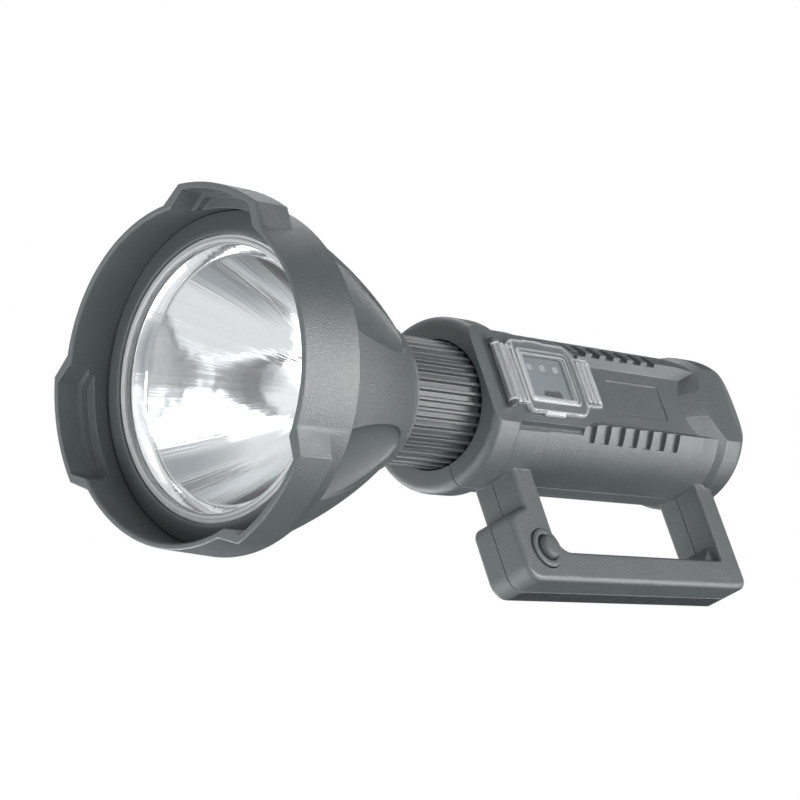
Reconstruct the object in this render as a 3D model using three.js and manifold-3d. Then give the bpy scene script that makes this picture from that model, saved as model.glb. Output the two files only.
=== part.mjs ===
import * as THREE from 'three';
import { mergeVertices } from 'three/addons/utils/BufferGeometryUtils.js';
import Module from 'manifold-3d';

const wasm = await Module();
wasm.setup();

// A hand lamp with a wide lugged crown, a fluted cone, a ribbed coupling collar and a two-shell
// body that carries a D handle. All sizes are millimetres. The beam axis runs along Y and the
// light leaves towards -Y, the deck with the lid faces +X and the handle hangs towards -Z.
// A station is a distance along the beam axis, counted from the crown's front rim.

// Clearances, and the extra length of cutting tools
const fitGap = 0.3;
const seamGap = 0.3;
const pinGap = 0.15;
const overrun = 6;

// Facets round a full turn: large rings, middling ones, and small round pieces
const largeTurn = 40;
const middleTurn = 24;
const smallTurn = 12;
const arcStops = 4;

// Where the lamp stands: the handle's flat base is at height zero, its middle over the origin
const axisHeight = 61.9;
const baseMiddleStation = 173.5;

// Crown, the bumper ring round the lens
const crownRearRadius = 49.7;
const crownOpening = 1.5;
const crownFrontRadius = crownRearRadius - crownOpening;
const crownLength = 20;
const crownWall = 1.8;
const crownEdge = 0.6;
const lugCount = 3;
const lugClock = 21.4;
const lugRadius = 53;
const lugLength = 12.6;
const lugFloor = 2.2;
const lugFlatHalfTurn = 17.5;
const lugFootHalfTurn = 26.7;
const pocketStepWidth = 1.1;
const pocketStepDepth = 2.6;

// Front ring, lens, gasket and reflector
const ringStation = 15.8;
const ringFaceRise = 2;
const ringLip = 1.3;
const ringFlange = 1.2;
const windowInset = 9.1;
const windowRadius = crownRearRadius - windowInset;
const lensOverlap = 1.8;
const lensThickness = 2.5;
const lensStep = 1;
const skirtWall = 1.7;
const gasketThickness = 1.2;
const gasketWidth = 1.9;
const reflectorWall = 1.2;
const reflectorRimInset = 5;
const reflectorRimRadius = windowRadius - reflectorRimInset;
const reflectorRimWidth = 2.4;
const reflectorDepth = 42;
const reflectorHoleRadius = 6;

// Barrel, neck and collar radii: the neck keeps its step below the barrel
const barrelRadius = 25.3;
const barrelWall = 3.6;
const collarSetback = 5.4;
const collarRibHeight = 1.3;
const collarWall = 2.3;
const collarRibRadius = barrelRadius - collarSetback;
const collarRootRadius = collarRibRadius - collarRibHeight;
const sleeveRadius = collarRootRadius - collarWall;

// Lamp chip on its board, and the heat sink behind them
const emitterBaseRadius = 4.2;
const emitterBaseHeight = 1.4;
const emitterDomeRadius = 3.2;
const ledBoardRadius = 11;
const ledBoardThickness = 1.6;
const sinkFlangeThickness = 3;
const sinkFlangeOverhang = 0.7;
const sinkPlugLength = 12;
const sinkFinCount = 3;
const sinkFinDepth = 1.6;
const sinkFinGap = 1.7;

// Fluted cone behind the crown
const coneSetback = 1.7;
const coneLap = 3.7;
const coneFrontRadius = crownRearRadius - coneSetback;
const coneRearRadius = collarRibRadius + coneLap;
const coneRearStation = 73;
const coneBulge = 4.2;
const coneBead = 0.4;
const coneBeadLength = 1.6;
const coneSeatStep = 7;
const coneCavityMargin = 1.9;
const coneSeatRadius = coneFrontRadius - coneSeatStep;
const coneCavityRear = sleeveRadius + coneCavityMargin;
const fluteCount = 6;
const fluteClock = 33.5;
const fluteHalfWidth = 11.6;
const fluteDepth = 3.4;
const fluteEndShare = 0.84;
const fluteStart = 1.2;

// Neck sleeve and the ribbed coupling collar that turns on it
const sleeveWall = 2.8;
const sleeveFlangeRise = 1.8;
const sleeveFlangeRadius = sleeveRadius + sleeveFlangeRise;
const sleeveFlangeThickness = 2.5;
const sleeveTail = 1.7;
const collarRibCount = 40;
const ribFootShare = 0.28;
const ribTipShare = 0.17;
const collarChamfer = 0.7;

// Body barrel with its front ring, tail and inner space
const bodyFrontStation = 105;
const bodyRingRise = 2.2;
const bodyRingRadius = barrelRadius + bodyRingRise;
const bodyRingLength = 11.7;
const bodyRingRound = 3;
const bodyRingStep = 0.9;
const recessDepth = 5;
const recessGap = 0.4;
const recessFloor = 3;
const ridgeHeight = 0.35;
const tailRise = 1.1;
const tailRadius = barrelRadius + tailRise;
const tailFlareStation = 228;
const tailFlareRun = 20;
const tailFlareRise = 11.7;
const tailEndStation = 240.5;
const tailRound = 5;
const tailFlatDrop = 2.8;
const waistStation = 214;
const waistRun = 8;
const waistDrop = 0.9;
const tailFlat = barrelRadius - tailFlatDrop;
const cavityEndStation = 231;

// Deck on the +X side: the lid's raised platform, the channel behind it and the grip notches
const platformDrop = 3.1;
const platformWidthShare = 0.6;
const platformHeight = barrelRadius - platformDrop;
const platformHalfWidth = barrelRadius * platformWidthShare;
const platformRearStation = 156;
const platformCornerRun = 7;
const platformCornerRise = 3.3;
const platformWall = 2.6;
const shelfStep = 3;
const shelfHeight = platformHeight - shelfStep;
const shelfRearStation = 160.5;
const channelShare = 0.715;
const channelHeight = barrelRadius * channelShare;
const channelHalfWidth = 10.4;
const channelFlare = 3.4;
const channelWall = 2.7;
const notchCount = 7;
const notchPitch = 7.55;
const notchWidth = 4.2;
const notchFirstStation = 154.9;
const notchDepth = 2.7;
const notchFloorRadius = barrelRadius - notchDepth;
const notchHalfLength = 4.1;
const notchTilt = 36;
const labelFrontStation = 174.8;
const labelRearStation = 203.7;
const labelHalfWidth = 6.3;
const labelRound = 1;
const labelDepth = 0.4;

// D handle in the seam plane
const handleThickness = 16.4;
const handleEdge = 1.2;
const handleRootDepth = 15;
const postFrontStation = 123.2;
const postThickness = 10;
const footFrontStation = 115.2;
const footTopDepth = 39.6;
const footShoulderDepth = 37;
const footTopRound = 2.6;
const footBottomRound = 5.6;
const barHeight = 10.1;
const rearPostFrontStation = 221.6;
const rearPostRearStation = 231.8;
const rearBottomRound = 4.2;
const openingFrontRound = 7;
const openingRearRound = 2;
const webLeg = 6.5;
const webHalfWidth = 5;
const keelRise = 1.1;
const keelDepth = barrelRadius - keelRise;

// The shells part on a plane this far to the left of the beam axis
const seamOffset = 0.6;

// Push button in the handle's foot, its ring, and the switch behind it
const buttonInset = 12.1;
const buttonRise = 10.8;
const buttonStation = footFrontStation + buttonInset;
const buttonDepth = axisHeight - buttonRise;
const buttonRadius = 4;
const buttonProud = 2.8;
const buttonDome = 1.5;
const buttonFlangeRadius = 5;
const buttonFlangeThickness = 1.2;
const buttonTravel = 1.5;
const buttonRingRadius = 6.4;
const buttonRingProud = 0.9;
const buttonRingSeat = 1.8;
const buttonRingEdge = 0.4;
const buttonWall = 4.3;
const switchCavityHalfLength = 4.9;
const switchCavityTopRun = 5.1;
const switchCavityBottomRun = 7.6;
const switchCavityFloor = 6.2;
const switchSide = 6;
const switchPlungerRadius = 1.7;
const switchPlungerLength = 0.8;
const switchBoardThickness = 1.6;
const switchBoardTopRun = 4.3;
const switchBoardBottomRun = 7;
const switchBoardHalfWidth = 4.4;
const wireChannelHalf = 1;
const wireChannelOffset = 1.6;

// Clear lid over the panel, hinged at its front end
const lidThickness = 1.9;
const lidFrontStation = 121.2;
const lidRearStation = 151.4;
const lidMargin = 2.8;
const lidHalfWidth = platformHalfWidth - lidMargin;
const lidCorner = 3;
const lidEdge = 0.4;
const lidWindowFrontStation = 122.9;
const lidWindowRearStation = 147.6;
const lidWindowMargin = 3.4;
const lidWindowHalfWidth = lidHalfWidth - lidWindowMargin;
const lidWindowRise = 0.5;
const lidWindowRound = 0.8;
const lidSkin = 1;
const lidRimWall = 1.2;
const lidTabRearStation = 159;
const lidTabMargin = 3.8;
const lidTabHalfWidth = lidHalfWidth - lidTabMargin;
const lidTabRound = 1.6;
const lidTabUndercut = 0.6;
const lidTabRibCount = 3;
const lidTabRibWidth = 0.8;
const lidTabRibHeight = 0.5;
const lidCatchFrontStation = 129;
const lidCatchRearStation = 138;
const lidCatchProud = 0.7;
const lidCatchHeight = 1.2;
const hingeStation = 113.3;
const hingeMargin = 2.6;
const hingeHalfWidth = lidHalfWidth - hingeMargin;
const knuckleRadius = 1.45;
const hingePinRadius = 0.75;
const hingeLugThickness = 1.5;
const hingeRibCount = 2;
const hingeRibPitch = 2.4;
const hingeRibWidth = 1;
const hingeRibHeight = 0.7;

// Display panel under the lid, its light windows and the charging socket
const panelFrontStation = 124.6;
const panelRearStation = 146;
const panelMargin = 1;
const panelHalfWidth = lidWindowHalfWidth - panelMargin;
const panelSink = 0.4;
const panelFlange = 1.5;
const panelFlangeThickness = 1.5;
const windowCount = 3;
const windowPitch = 6.4;
const windowMiddleStation = 135.8;
const windowRowInset = 3.8;
const windowRow = panelHalfWidth - windowRowInset;
const windowLength = 2.6;
const windowWidth = 2.2;
const windowProud = 0.15;
const portStation = 137.4;
const portRowInset = 2.8;
const portRow = portRowInset - panelHalfWidth;
const portHalfLength = 4.5;
const portHalfWidth = 1.6;
const portWall = 0.4;
const portTongueHalfWidth = 0.35;
const portTongueHalfLength = 3.1;
const portTongueSink = 0.8;
const portRoundShare = 0.96;
const portSink = 0.4;
const portFloor = 1;
const controlBoardThickness = 1.6;
const controlBoardFrontStation = 122.6;
const controlBoardRearStation = 153;
const controlBoardMargin = 3.6;
const controlBoardHalfWidth = panelHalfWidth + controlBoardMargin;

// Battery cells and the plates that hold them
const cellShare = 0.424;
const cellRadius = (barrelRadius - barrelWall) * cellShare;
const cellLength = 65;
const cellEdge = 0.8;
const cellButtonRadius = 3;
const cellButtonHeight = 0.4;
const cellCount = 3;
const cellSpread = 0.28;
const cellRing = 2 * cellRadius / Math.sqrt(3) + cellSpread;
const cellPlateThickness = 2.6;

// Screws that close the two shells
const screwHeadRadius = 2.7;
const screwHeadHeight = 1.8;
const screwShankRadius = 1.4;
const screwShankLength = 10.5;
const screwPoint = 1.2;
const screwCrownShare = 0.7;
const screwSeat = 5;
const screwHoleMargin = 0.8;
const postScrewInset = 4.4;
const postScrewDepth = 33;
const barScrewStation = 150;
const cornerScrewInset = 6.2;
const ringScrewInset = 4.6;
const ringScrewDrop = 4.1;
const tailScrewInset = 5.2;
const tailScrewDrop = 7.7;

// Materials
const darkPlastic = { color: 0x5c6264, roughness: 0.62, metalness: 0 };
const darkRubber = { color: 0x3f4345, roughness: 0.8, metalness: 0 };
const clearPlastic = { color: 0xdfe3ea, roughness: 0.08, metalness: 0, transparent: true, opacity: 0.35 };
const brightMetal = { color: 0xe6e8ea, roughness: 0.08, metalness: 1 };
const aluminium = { color: 0xb4b7ba, roughness: 0.4, metalness: 1 };
const steel = { color: 0x9a9da0, roughness: 0.35, metalness: 1 };
const palePlastic = { color: 0xa7abae, roughness: 0.5, metalness: 0 };
const boardGreen = { color: 0x2f6b45, roughness: 0.5, metalness: 0 };
const cellSleeve = { color: 0x4a78a8, roughness: 0.4, metalness: 0 };
const chipYellow = { color: 0xe8d27a, roughness: 0.4, metalness: 0 };

// Places worked out from the sizes above
const ringFront = ringStation - ringFaceRise;
const lipRear = ringFront + ringLip;
const lensRadius = windowRadius + lensOverlap;
const skirtBore = lensRadius + fitGap;
const skirtRadius = skirtBore + skirtWall;
const lensFront = lipRear + fitGap;
const lensRear = lensFront + lensThickness;
const gasketFront = lensRear + fitGap;
const gasketRear = gasketFront + gasketThickness;
const flangeFront = gasketRear + fitGap;
const flangeRear = flangeFront + reflectorWall;
const flangeRadius = skirtRadius - fitGap;
const ringRadius = crownBoreAt(ringStation) - fitGap;
const ringRear = ringStation + ringFlange;
const spigotFront = ringRear + fitGap;
const spigotRadius = crownBoreAt(ringRear) - fitGap;
const coneFrontStation = crownLength + fitGap;
const reflectorRear = gasketFront + reflectorDepth;
const ledBoardFront = reflectorRear + 3 * fitGap;
const ledBoardRear = ledBoardFront + ledBoardThickness;
const sinkFront = ledBoardRear + fitGap;
const sinkFlangeRear = sinkFront + sinkFlangeThickness;
const sleeveFront = sinkFlangeRear + fitGap;
const sleeveBore = sleeveRadius - sleeveWall;
const sleeveHole = sleeveRadius + fitGap;
const recessFloorStation = bodyFrontStation + recessDepth;
const cavityFrontStation = recessFloorStation + recessFloor;
const sleeveFlangeFront = cavityFrontStation + fitGap;
const sleeveFlangeRear = sleeveFlangeFront + sleeveFlangeThickness;
const sleeveRear = sleeveFlangeRear + sleeveTail;
const collarFront = coneRearStation + fitGap;
const collarRear = recessFloorStation - fitGap;
const ringRearStation = bodyFrontStation + bodyRingLength;
const cavityRadius = barrelRadius - barrelWall;
const tailFlareStart = tailFlareStation - tailFlareRun;
const handleHalf = handleThickness / 2;
const openingFront = postFrontStation + postThickness;
const barTop = barHeight - axisHeight;
const barMiddle = barTop - barHeight / 2;
const platformUnderside = platformHeight - platformWall;
const channelUnderside = channelHeight - channelWall;
const panelFlangeTop = platformUnderside - fitGap;
const panelFlangeBottom = panelFlangeTop - panelFlangeThickness;
const panelTop = platformHeight - panelSink;
const boardTop = panelFlangeBottom - fitGap;
const lidUnderside = platformHeight + fitGap;
const lidTop = lidUnderside + lidThickness;
const hingeHeight = lidUnderside + knuckleRadius;
const hingePinHole = hingePinRadius + pinGap;
const hingeLugInside = hingeHalfWidth + fitGap;
const hingeLugOutside = hingeLugInside + hingeLugThickness;
const buttonHole = buttonRadius + fitGap;
const buttonWallInside = handleHalf - buttonWall;
const buttonFlangeTop = buttonWallInside - fitGap;
const buttonRear = buttonFlangeTop - buttonFlangeThickness;
const buttonTop = handleHalf + buttonProud;
const switchTop = buttonRear - buttonTravel - fitGap;
const switchBoardRear = fitGap - switchCavityFloor;
const switchRear = switchBoardRear + switchBoardThickness + fitGap;
const rearPlateRear = cavityEndStation - fitGap;
const rearPlateFront = rearPlateRear - cellPlateThickness;
const cellRear = rearPlateFront - fitGap;
const cellFront = cellRear - cellLength;
const frontPlateRear = cellFront - fitGap;
const frontPlateFront = frontPlateRear - cellPlateThickness;
const screwPlaces = [
    { station: openingFront - postScrewInset, height: -postScrewDepth },
    { station: barScrewStation, height: barMiddle },
    { station: rearPostRearStation - cornerScrewInset, height: barMiddle },
    { station: bodyFrontStation + ringScrewInset, height: bodyRingRadius - ringScrewDrop },
    { station: tailEndStation - tailScrewInset, height: tailRadius - tailScrewDrop },
];

// The crown's wall opens slightly towards the rear, and what fits in it follows its bore
function crownBoreAt(station) {
    return crownFrontRadius - crownWall + crownOpening * station / crownLength;
}

// Solids and booleans

// A closed mesh becomes a solid. A profile drawn clockwise gives inward faces, which are turned.
function solid(geometry) {
    const bare = geometry.clone();
    bare.deleteAttribute('normal');
    bare.deleteAttribute('uv');
    const merged = mergeVertices(bare);
    const places = new Float32Array(merged.attributes.position.array);
    const corners = merged.index.array;
    const kept = [];
    const [a, b, c] = [new THREE.Vector3(), new THREE.Vector3(), new THREE.Vector3()];
    let volume = 0;
    for (let i = 0; i < corners.length; i += 3) {
        const [p, q, r] = [corners[i], corners[i + 1], corners[i + 2]];
        if (p === q || q === r || r === p) continue;
        kept.push(p, q, r);
        a.fromArray(places, 3 * p);
        b.fromArray(places, 3 * q);
        c.fromArray(places, 3 * r);
        volume += a.dot(b.cross(c));
    }
    if (volume < 0) kept.reverse();
    const mesh = new wasm.Mesh({ numProp: 3, vertProperties: places, triVerts: new Uint32Array(kept) });
    return new wasm.Manifold(mesh);
}

function geometryOf(body) {
    const mesh = body.getMesh();
    const indexed = new THREE.BufferGeometry();
    indexed.setAttribute('position', new THREE.BufferAttribute(new Float32Array(mesh.vertProperties), 3));
    indexed.setIndex(new THREE.BufferAttribute(new Uint32Array(mesh.triVerts), 1));
    const flat = indexed.toNonIndexed();
    flat.computeVertexNormals();
    return flat;
}

function joined(first, ...others) {
    return others.reduce((body, other) => body.add(other), first);
}

function cut(body, ...tools) {
    return tools.reduce((rest, tool) => rest.subtract(tool), body);
}

// A profile of [radius, station] points, turned about the beam axis
function turned(profile, segments) {
    const points = profile.map(([radius, station]) => new THREE.Vector2(radius, station));
    if (profile[0][0] > 0) points.push(points[0].clone());
    return solid(new THREE.LatheGeometry(points, segments));
}

function extruded(shape, from, to, edge, axes) {
    const geometry = new THREE.ExtrudeGeometry(shape, {
        depth: to - from - 2 * edge,
        bevelEnabled: edge > 0,
        bevelSize: edge,
        bevelOffset: -edge,
        bevelThickness: edge,
        bevelSegments: 1,
        curveSegments: 5,
    });
    geometry.translate(0, 0, from + edge);
    const [first, second, third] = axes.map((axis) => new THREE.Vector3(...axis));
    return solid(geometry.applyMatrix4(new THREE.Matrix4().makeBasis(first, second, third)));
}

// A shape drawn in (station, height), given its thickness along X
function slab(shape, from, to, edge = 0) {
    return extruded(shape, from, to, edge, [[0, 1, 0], [0, 0, 1], [1, 0, 0]]);
}

// A shape drawn in (height, deck side), given its length along the beam axis
function along(shape, from, to, edge = 0) {
    return extruded(shape, from, to, edge, [[0, 0, 1], [1, 0, 0], [0, 1, 0]]);
}

// A block between two corners
function block(x0, x1, y0, y1, z0, z1) {
    const geometry = new THREE.BoxGeometry(x1 - x0, y1 - y0, z1 - z0);
    return solid(geometry.translate((x0 + x1) / 2, (y0 + y1) / 2, (z0 + z1) / 2));
}

// A round bar parallel to X at a station and height
function crossBar(radius, from, to, station, height, segments = smallTurn) {
    const geometry = new THREE.CylinderGeometry(radius, radius, to - from, segments);
    return solid(geometry.rotateZ(Math.PI / 2).translate((from + to) / 2, station, height));
}

// A round bar parallel to Z at a deck-side distance and station
function uprightBar(radius, from, to, across, station, segments = smallTurn) {
    const geometry = new THREE.CylinderGeometry(radius, radius, to - from, segments);
    return solid(geometry.rotateX(Math.PI / 2).translate(across, station, (from + to) / 2));
}

// A rectangle with rounded corners in (station, height)
function roundedRectangle(y0, y1, z0, z1, round) {
    const shape = new THREE.Shape();
    shape.moveTo(y0 + round, z0);
    shape.lineTo(y1 - round, z0);
    shape.absarc(y1 - round, z0 + round, round, -Math.PI / 2, 0);
    shape.lineTo(y1, z1 - round);
    shape.absarc(y1 - round, z1 - round, round, 0, Math.PI / 2);
    shape.lineTo(y0 + round, z1);
    shape.absarc(y0 + round, z1 - round, round, Math.PI / 2, Math.PI);
    shape.lineTo(y0, z0 + round);
    shape.absarc(y0 + round, z0 + round, round, Math.PI, 1.5 * Math.PI);
    return shape;
}

function polygon(corners) {
    return new THREE.Shape(corners.map(([first, second]) => new THREE.Vector2(first, second)));
}

const lamp = new THREE.Group();
lamp.position.set(0, -baseMiddleStation, axisHeight);

function piece(name, body, finish) {
    const mesh = new THREE.Mesh(geometryOf(body), new THREE.MeshStandardMaterial(finish));
    mesh.name = name;
    lamp.add(mesh);
    return mesh;
}

// Crown

// The crown's outline with its lugs. Turns count from the handle side towards the deck side.
function lobedOutline(outer, inner, flatHalfTurn, footHalfTurn) {
    const pitch = 360 / lugCount;
    const stops = 8;
    const corners = [];
    for (let lug = 0; lug < lugCount; lug++) {
        const middle = lugClock + lug * pitch;
        for (let i = 0; i <= stops; i++) {
            corners.push([outer, middle + flatHalfTurn * (2 * i / stops - 1)]);
        }
        const valley = pitch - 2 * footHalfTurn;
        for (let i = 0; i <= stops; i++) {
            corners.push([inner, middle + footHalfTurn + valley * i / stops]);
        }
    }
    return polygon(corners.map(([radius, turn]) => {
        const angle = THREE.MathUtils.degToRad(turn);
        return [-radius * Math.cos(angle), radius * Math.sin(angle)];
    }));
}

function makeCrown() {
    const band = turned([
        [0, 0],
        [crownFrontRadius - crownEdge, 0],
        [crownFrontRadius, crownEdge],
        [crownRearRadius, crownLength - crownEdge],
        [crownRearRadius - crownEdge, crownLength],
        [0, crownLength],
    ], largeTurn);
    const bore = turned([
        [0, -overrun],
        [crownBoreAt(0), -overrun],
        [crownBoreAt(0), 0],
        [crownBoreAt(crownLength), crownLength],
        [crownBoreAt(crownLength), crownLength + overrun],
        [0, crownLength + overrun],
    ], largeTurn);
    const foot = crownFrontRadius - crownWall / 2;
    const lugOutline = lobedOutline(lugRadius, foot, lugFlatHalfTurn, lugFootHalfTurn);
    const lugs = along(lugOutline, 0, lugLength, crownEdge);
    const bite = crownBoreAt(0) - crownWall;
    const pocketDepth = lugLength - lugFloor;
    const wallTurn = THREE.MathUtils.radToDeg(crownWall / lugRadius);
    const stepTurn = THREE.MathUtils.radToDeg(pocketStepWidth / lugRadius);
    const pocket = (wall, turn, depth) => {
        const outline = lobedOutline(
            lugRadius - wall, bite, lugFlatHalfTurn - turn, lugFootHalfTurn - turn);
        return along(outline, -overrun, depth);
    };
    return cut(
        band.add(lugs),
        bore,
        pocket(crownWall, wallTurn, pocketDepth - pocketStepDepth),
        pocket(crownWall + pocketStepWidth, wallTurn + stepTurn, pocketDepth),
    );
}
piece('crown_bezel', makeCrown(), darkPlastic);

// Front ring, lens, gasket and reflector

const retainingRing = turned([
    [windowRadius, ringFront],
    [ringRadius, ringStation],
    [ringRadius, ringRear],
    [skirtRadius, ringRear],
    [skirtRadius, gasketRear],
    [skirtBore, gasketRear],
    [skirtBore, lipRear],
    [windowRadius, lipRear],
], largeTurn);
piece('retaining_ring', retainingRing, darkPlastic);

const lens = turned([
    [0, lensFront - lensStep],
    [windowRadius - fitGap, lensFront - lensStep],
    [windowRadius - fitGap, lensFront],
    [lensRadius, lensFront],
    [lensRadius, lensRear],
    [0, lensRear],
], largeTurn);
piece('lens', lens, clearPlastic);

const lensGasket = turned([
    [lensRadius - gasketWidth, gasketFront],
    [lensRadius, gasketFront],
    [lensRadius, gasketRear],
    [lensRadius - gasketWidth, gasketRear],
], middleTurn);
piece('lens_gasket', lensGasket, darkRubber);

// The mirror is a paraboloid with a stepped rim; its outside follows at the wall's thickness
function makeReflector() {
    const steps = 6;
    const inside = [];
    const outside = [];
    const rim = reflectorRimRadius ** 2;
    const hole = reflectorHoleRadius ** 2;
    for (let i = 0; i <= steps; i++) {
        const radius = reflectorHoleRadius + (reflectorRimRadius - reflectorHoleRadius) * i / steps;
        const station = reflectorRear - reflectorDepth * (radius ** 2 - hole) / (rim - hole);
        inside.push([radius, station]);
        if (station > flangeRear + reflectorWall) outside.push([radius + reflectorWall, station]);
    }
    const rimRadius = reflectorRimRadius + reflectorRimWidth;
    return turned([
        ...inside,
        [rimRadius, gasketFront],
        [rimRadius, flangeFront],
        [flangeRadius, flangeFront],
        [flangeRadius, flangeRear],
        [rimRadius, flangeRear],
        ...outside.reverse(),
    ], middleTurn);
}
piece('reflector', makeReflector(), brightMetal);

// Lamp chip, board and heat sink

function makeEmitter() {
    const rear = ledBoardFront - fitGap;
    const front = rear - emitterBaseHeight;
    const dome = [];
    for (let i = 0; i <= arcStops; i++) {
        const angle = Math.PI / 2 * i / arcStops;
        dome.push([emitterDomeRadius * Math.sin(angle), front - emitterDomeRadius * Math.cos(angle)]);
    }
    return turned([...dome, [emitterBaseRadius, front], [emitterBaseRadius, rear], [0, rear]], smallTurn);
}
piece('led_emitter', makeEmitter(), chipYellow);

const ledBoard = turned([
    [0, ledBoardFront],
    [ledBoardRadius, ledBoardFront],
    [ledBoardRadius, ledBoardRear],
    [0, ledBoardRear],
], smallTurn);
piece('led_board', ledBoard, boardGreen);

function makeHeatSink() {
    const flange = sleeveRadius + sinkFlangeOverhang;
    const plug = sleeveBore - fitGap;
    const rear = sinkFlangeRear + sinkPlugLength;
    const pitch = sinkPlugLength / (sinkFinCount + 1);
    const profile = [[0, sinkFront], [flange, sinkFront], [flange, sinkFlangeRear], [plug, sinkFlangeRear]];
    for (let fin = 1; fin <= sinkFinCount; fin++) {
        const middle = sinkFlangeRear + fin * pitch;
        profile.push([plug, middle - sinkFinGap / 2]);
        profile.push([plug - sinkFinDepth, middle - sinkFinGap / 2]);
        profile.push([plug - sinkFinDepth, middle + sinkFinGap / 2]);
        profile.push([plug, middle + sinkFinGap / 2]);
    }
    profile.push([plug, rear], [0, rear]);
    return turned(profile, smallTurn);
}
piece('heat_sink', makeHeatSink(), aluminium);

// Fluted cone

// The cone's outside bulges a little: a quadratic curve gives its radius and station
function coneCurve() {
    const front = new THREE.Vector2(coneFrontRadius, coneFrontStation);
    const rear = new THREE.Vector2(coneRearRadius, coneRearStation - coneBeadLength);
    const run = rear.clone().sub(front).normalize();
    const outward = new THREE.Vector2(run.y, -run.x).multiplyScalar(coneBulge);
    const middle = front.clone().add(rear).divideScalar(2).add(outward);
    return new THREE.QuadraticBezierCurve(front, middle, rear);
}

// A flute is half an ellipsoid laid along the cone's outside, deepest at the crown
function makeFlute(curve, index) {
    const start = curve.getPoint(0);
    const run = curve.getPoint(fluteEndShare).sub(start);
    const flute = new THREE.SphereGeometry(1, smallTurn, 2 * arcStops);
    flute.scale(fluteHalfWidth, run.length(), fluteDepth);
    flute.rotateX(Math.atan2(run.x, run.y));
    flute.translate(0, start.y, start.x);
    const turn = fluteClock + index * 360 / fluteCount;
    return solid(flute.rotateY(THREE.MathUtils.degToRad(180 - turn)));
}

function makeCone() {
    const curve = coneCurve();
    const outside = curve.getPoints(5).map((point) => [point.x, point.y]);
    const cavityRear = sleeveFront - fitGap;
    const body = turned([
        [skirtRadius + fitGap, spigotFront],
        [spigotRadius, spigotFront],
        [spigotRadius, coneFrontStation],
        ...outside,
        [coneRearRadius + coneBead, coneRearStation - coneBeadLength + coneBead],
        [coneRearRadius + coneBead, coneRearStation - coneBead],
        [coneRearRadius, coneRearStation],
        [sleeveHole, coneRearStation],
        [sleeveHole, cavityRear],
        [coneCavityRear, cavityRear],
        [coneSeatRadius, flangeRear + fitGap],
        [skirtRadius + fitGap, flangeRear + fitGap],
    ], largeTurn);
    const guard = turned([
        [0, -overrun],
        [lugRadius, -overrun],
        [lugRadius, coneFrontStation + fluteStart],
        [0, coneFrontStation + fluteStart],
    ], middleTurn);
    const flutes = [];
    for (let i = 0; i < fluteCount; i++) flutes.push(makeFlute(curve, i).subtract(guard));
    return cut(body, ...flutes);
}
piece('head_housing', makeCone(), darkPlastic);

// Neck sleeve and the ribbed collar

const neckSleeve = turned([
    [sleeveBore, sleeveFront],
    [sleeveRadius, sleeveFront],
    [sleeveRadius, sleeveFlangeFront],
    [sleeveFlangeRadius, sleeveFlangeFront],
    [sleeveFlangeRadius, sleeveFlangeRear],
    [sleeveRadius, sleeveFlangeRear],
    [sleeveRadius, sleeveRear],
    [sleeveBore, sleeveRear],
], middleTurn);
piece('neck_sleeve', neckSleeve, aluminium);

function makeCollar() {
    const pitch = 2 * Math.PI / collarRibCount;
    const corners = [];
    for (let rib = 0; rib < collarRibCount; rib++) {
        corners.push([collarRootRadius, rib - ribFootShare]);
        corners.push([collarRibRadius, rib - ribTipShare]);
        corners.push([collarRibRadius, rib + ribTipShare]);
        corners.push([collarRootRadius, rib + ribFootShare]);
    }
    const outline = polygon(corners.map(([radius, turn]) => [
        radius * Math.cos(turn * pitch),
        radius * Math.sin(turn * pitch),
    ]));
    const envelope = turned([
        [sleeveHole, collarFront],
        [collarRootRadius, collarFront],
        [collarRibRadius + collarChamfer, collarFront + 2 * collarChamfer],
        [collarRibRadius + collarChamfer, collarRear - 2 * collarChamfer],
        [collarRootRadius, collarRear],
        [sleeveHole, collarRear],
    ], middleTurn);
    return along(outline, collarFront, collarRear).intersect(envelope);
}
piece('ribbed_collar', makeCollar(), darkPlastic);

// Body shells with the D handle

function roundedRear(radius, rear, round) {
    const arc = [];
    for (let i = 0; i <= arcStops; i++) {
        const angle = Math.PI / 2 * i / arcStops;
        arc.push([radius - round + round * Math.cos(angle), rear - round + round * Math.sin(angle)]);
    }
    return arc;
}

function makeBarrel() {
    const frontArc = [];
    for (let i = 0; i <= arcStops; i++) {
        const angle = Math.PI / 2 * i / arcStops;
        frontArc.push([
            bodyRingRadius - bodyRingRound + bodyRingRound * Math.sin(angle),
            bodyFrontStation + bodyRingRound - bodyRingRound * Math.cos(angle),
        ]);
    }
    return turned([
        [0, bodyFrontStation],
        ...frontArc,
        [bodyRingRadius, ringRearStation - bodyRingStep],
        [bodyRingRadius - bodyRingStep, ringRearStation],
        [barrelRadius + ridgeHeight, ringRearStation],
        [barrelRadius + ridgeHeight, openingFront],
        [barrelRadius, openingFront + ridgeHeight],
        [barrelRadius, cavityEndStation],
        [0, cavityEndStation],
    ], largeTurn);
}

function makeTail() {
    const tail = turned([
        [0, tailFlareStart],
        [tailRadius - tailFlareRise, tailFlareStart],
        [tailRadius, tailFlareStation],
        ...roundedRear(tailRadius, tailEndStation, tailRound),
        [0, tailEndStation],
    ], largeTurn);
    const reach = tailRadius + overrun;
    return tail.subtract(block(
        tailFlat, reach, tailFlareStart - overrun, tailEndStation + overrun, -reach, reach));
}

// The barrel's waist before the tail: a turned cut set off from the axis, so it is deep on the
// deck's shoulders and fades out above and below
function makeWaist() {
    const reach = tailRadius + overrun;
    const rear = cavityEndStation + overrun;
    const core = turned([
        [0, waistStation],
        [barrelRadius + waistDrop, waistStation],
        [barrelRadius, waistStation + waistRun],
        [barrelRadius, rear],
        [0, rear],
    ], largeTurn);
    return block(0, reach, waistStation, rear, -reach, reach).subtract(core.translate(-waistDrop, 0, 0));
}

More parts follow.
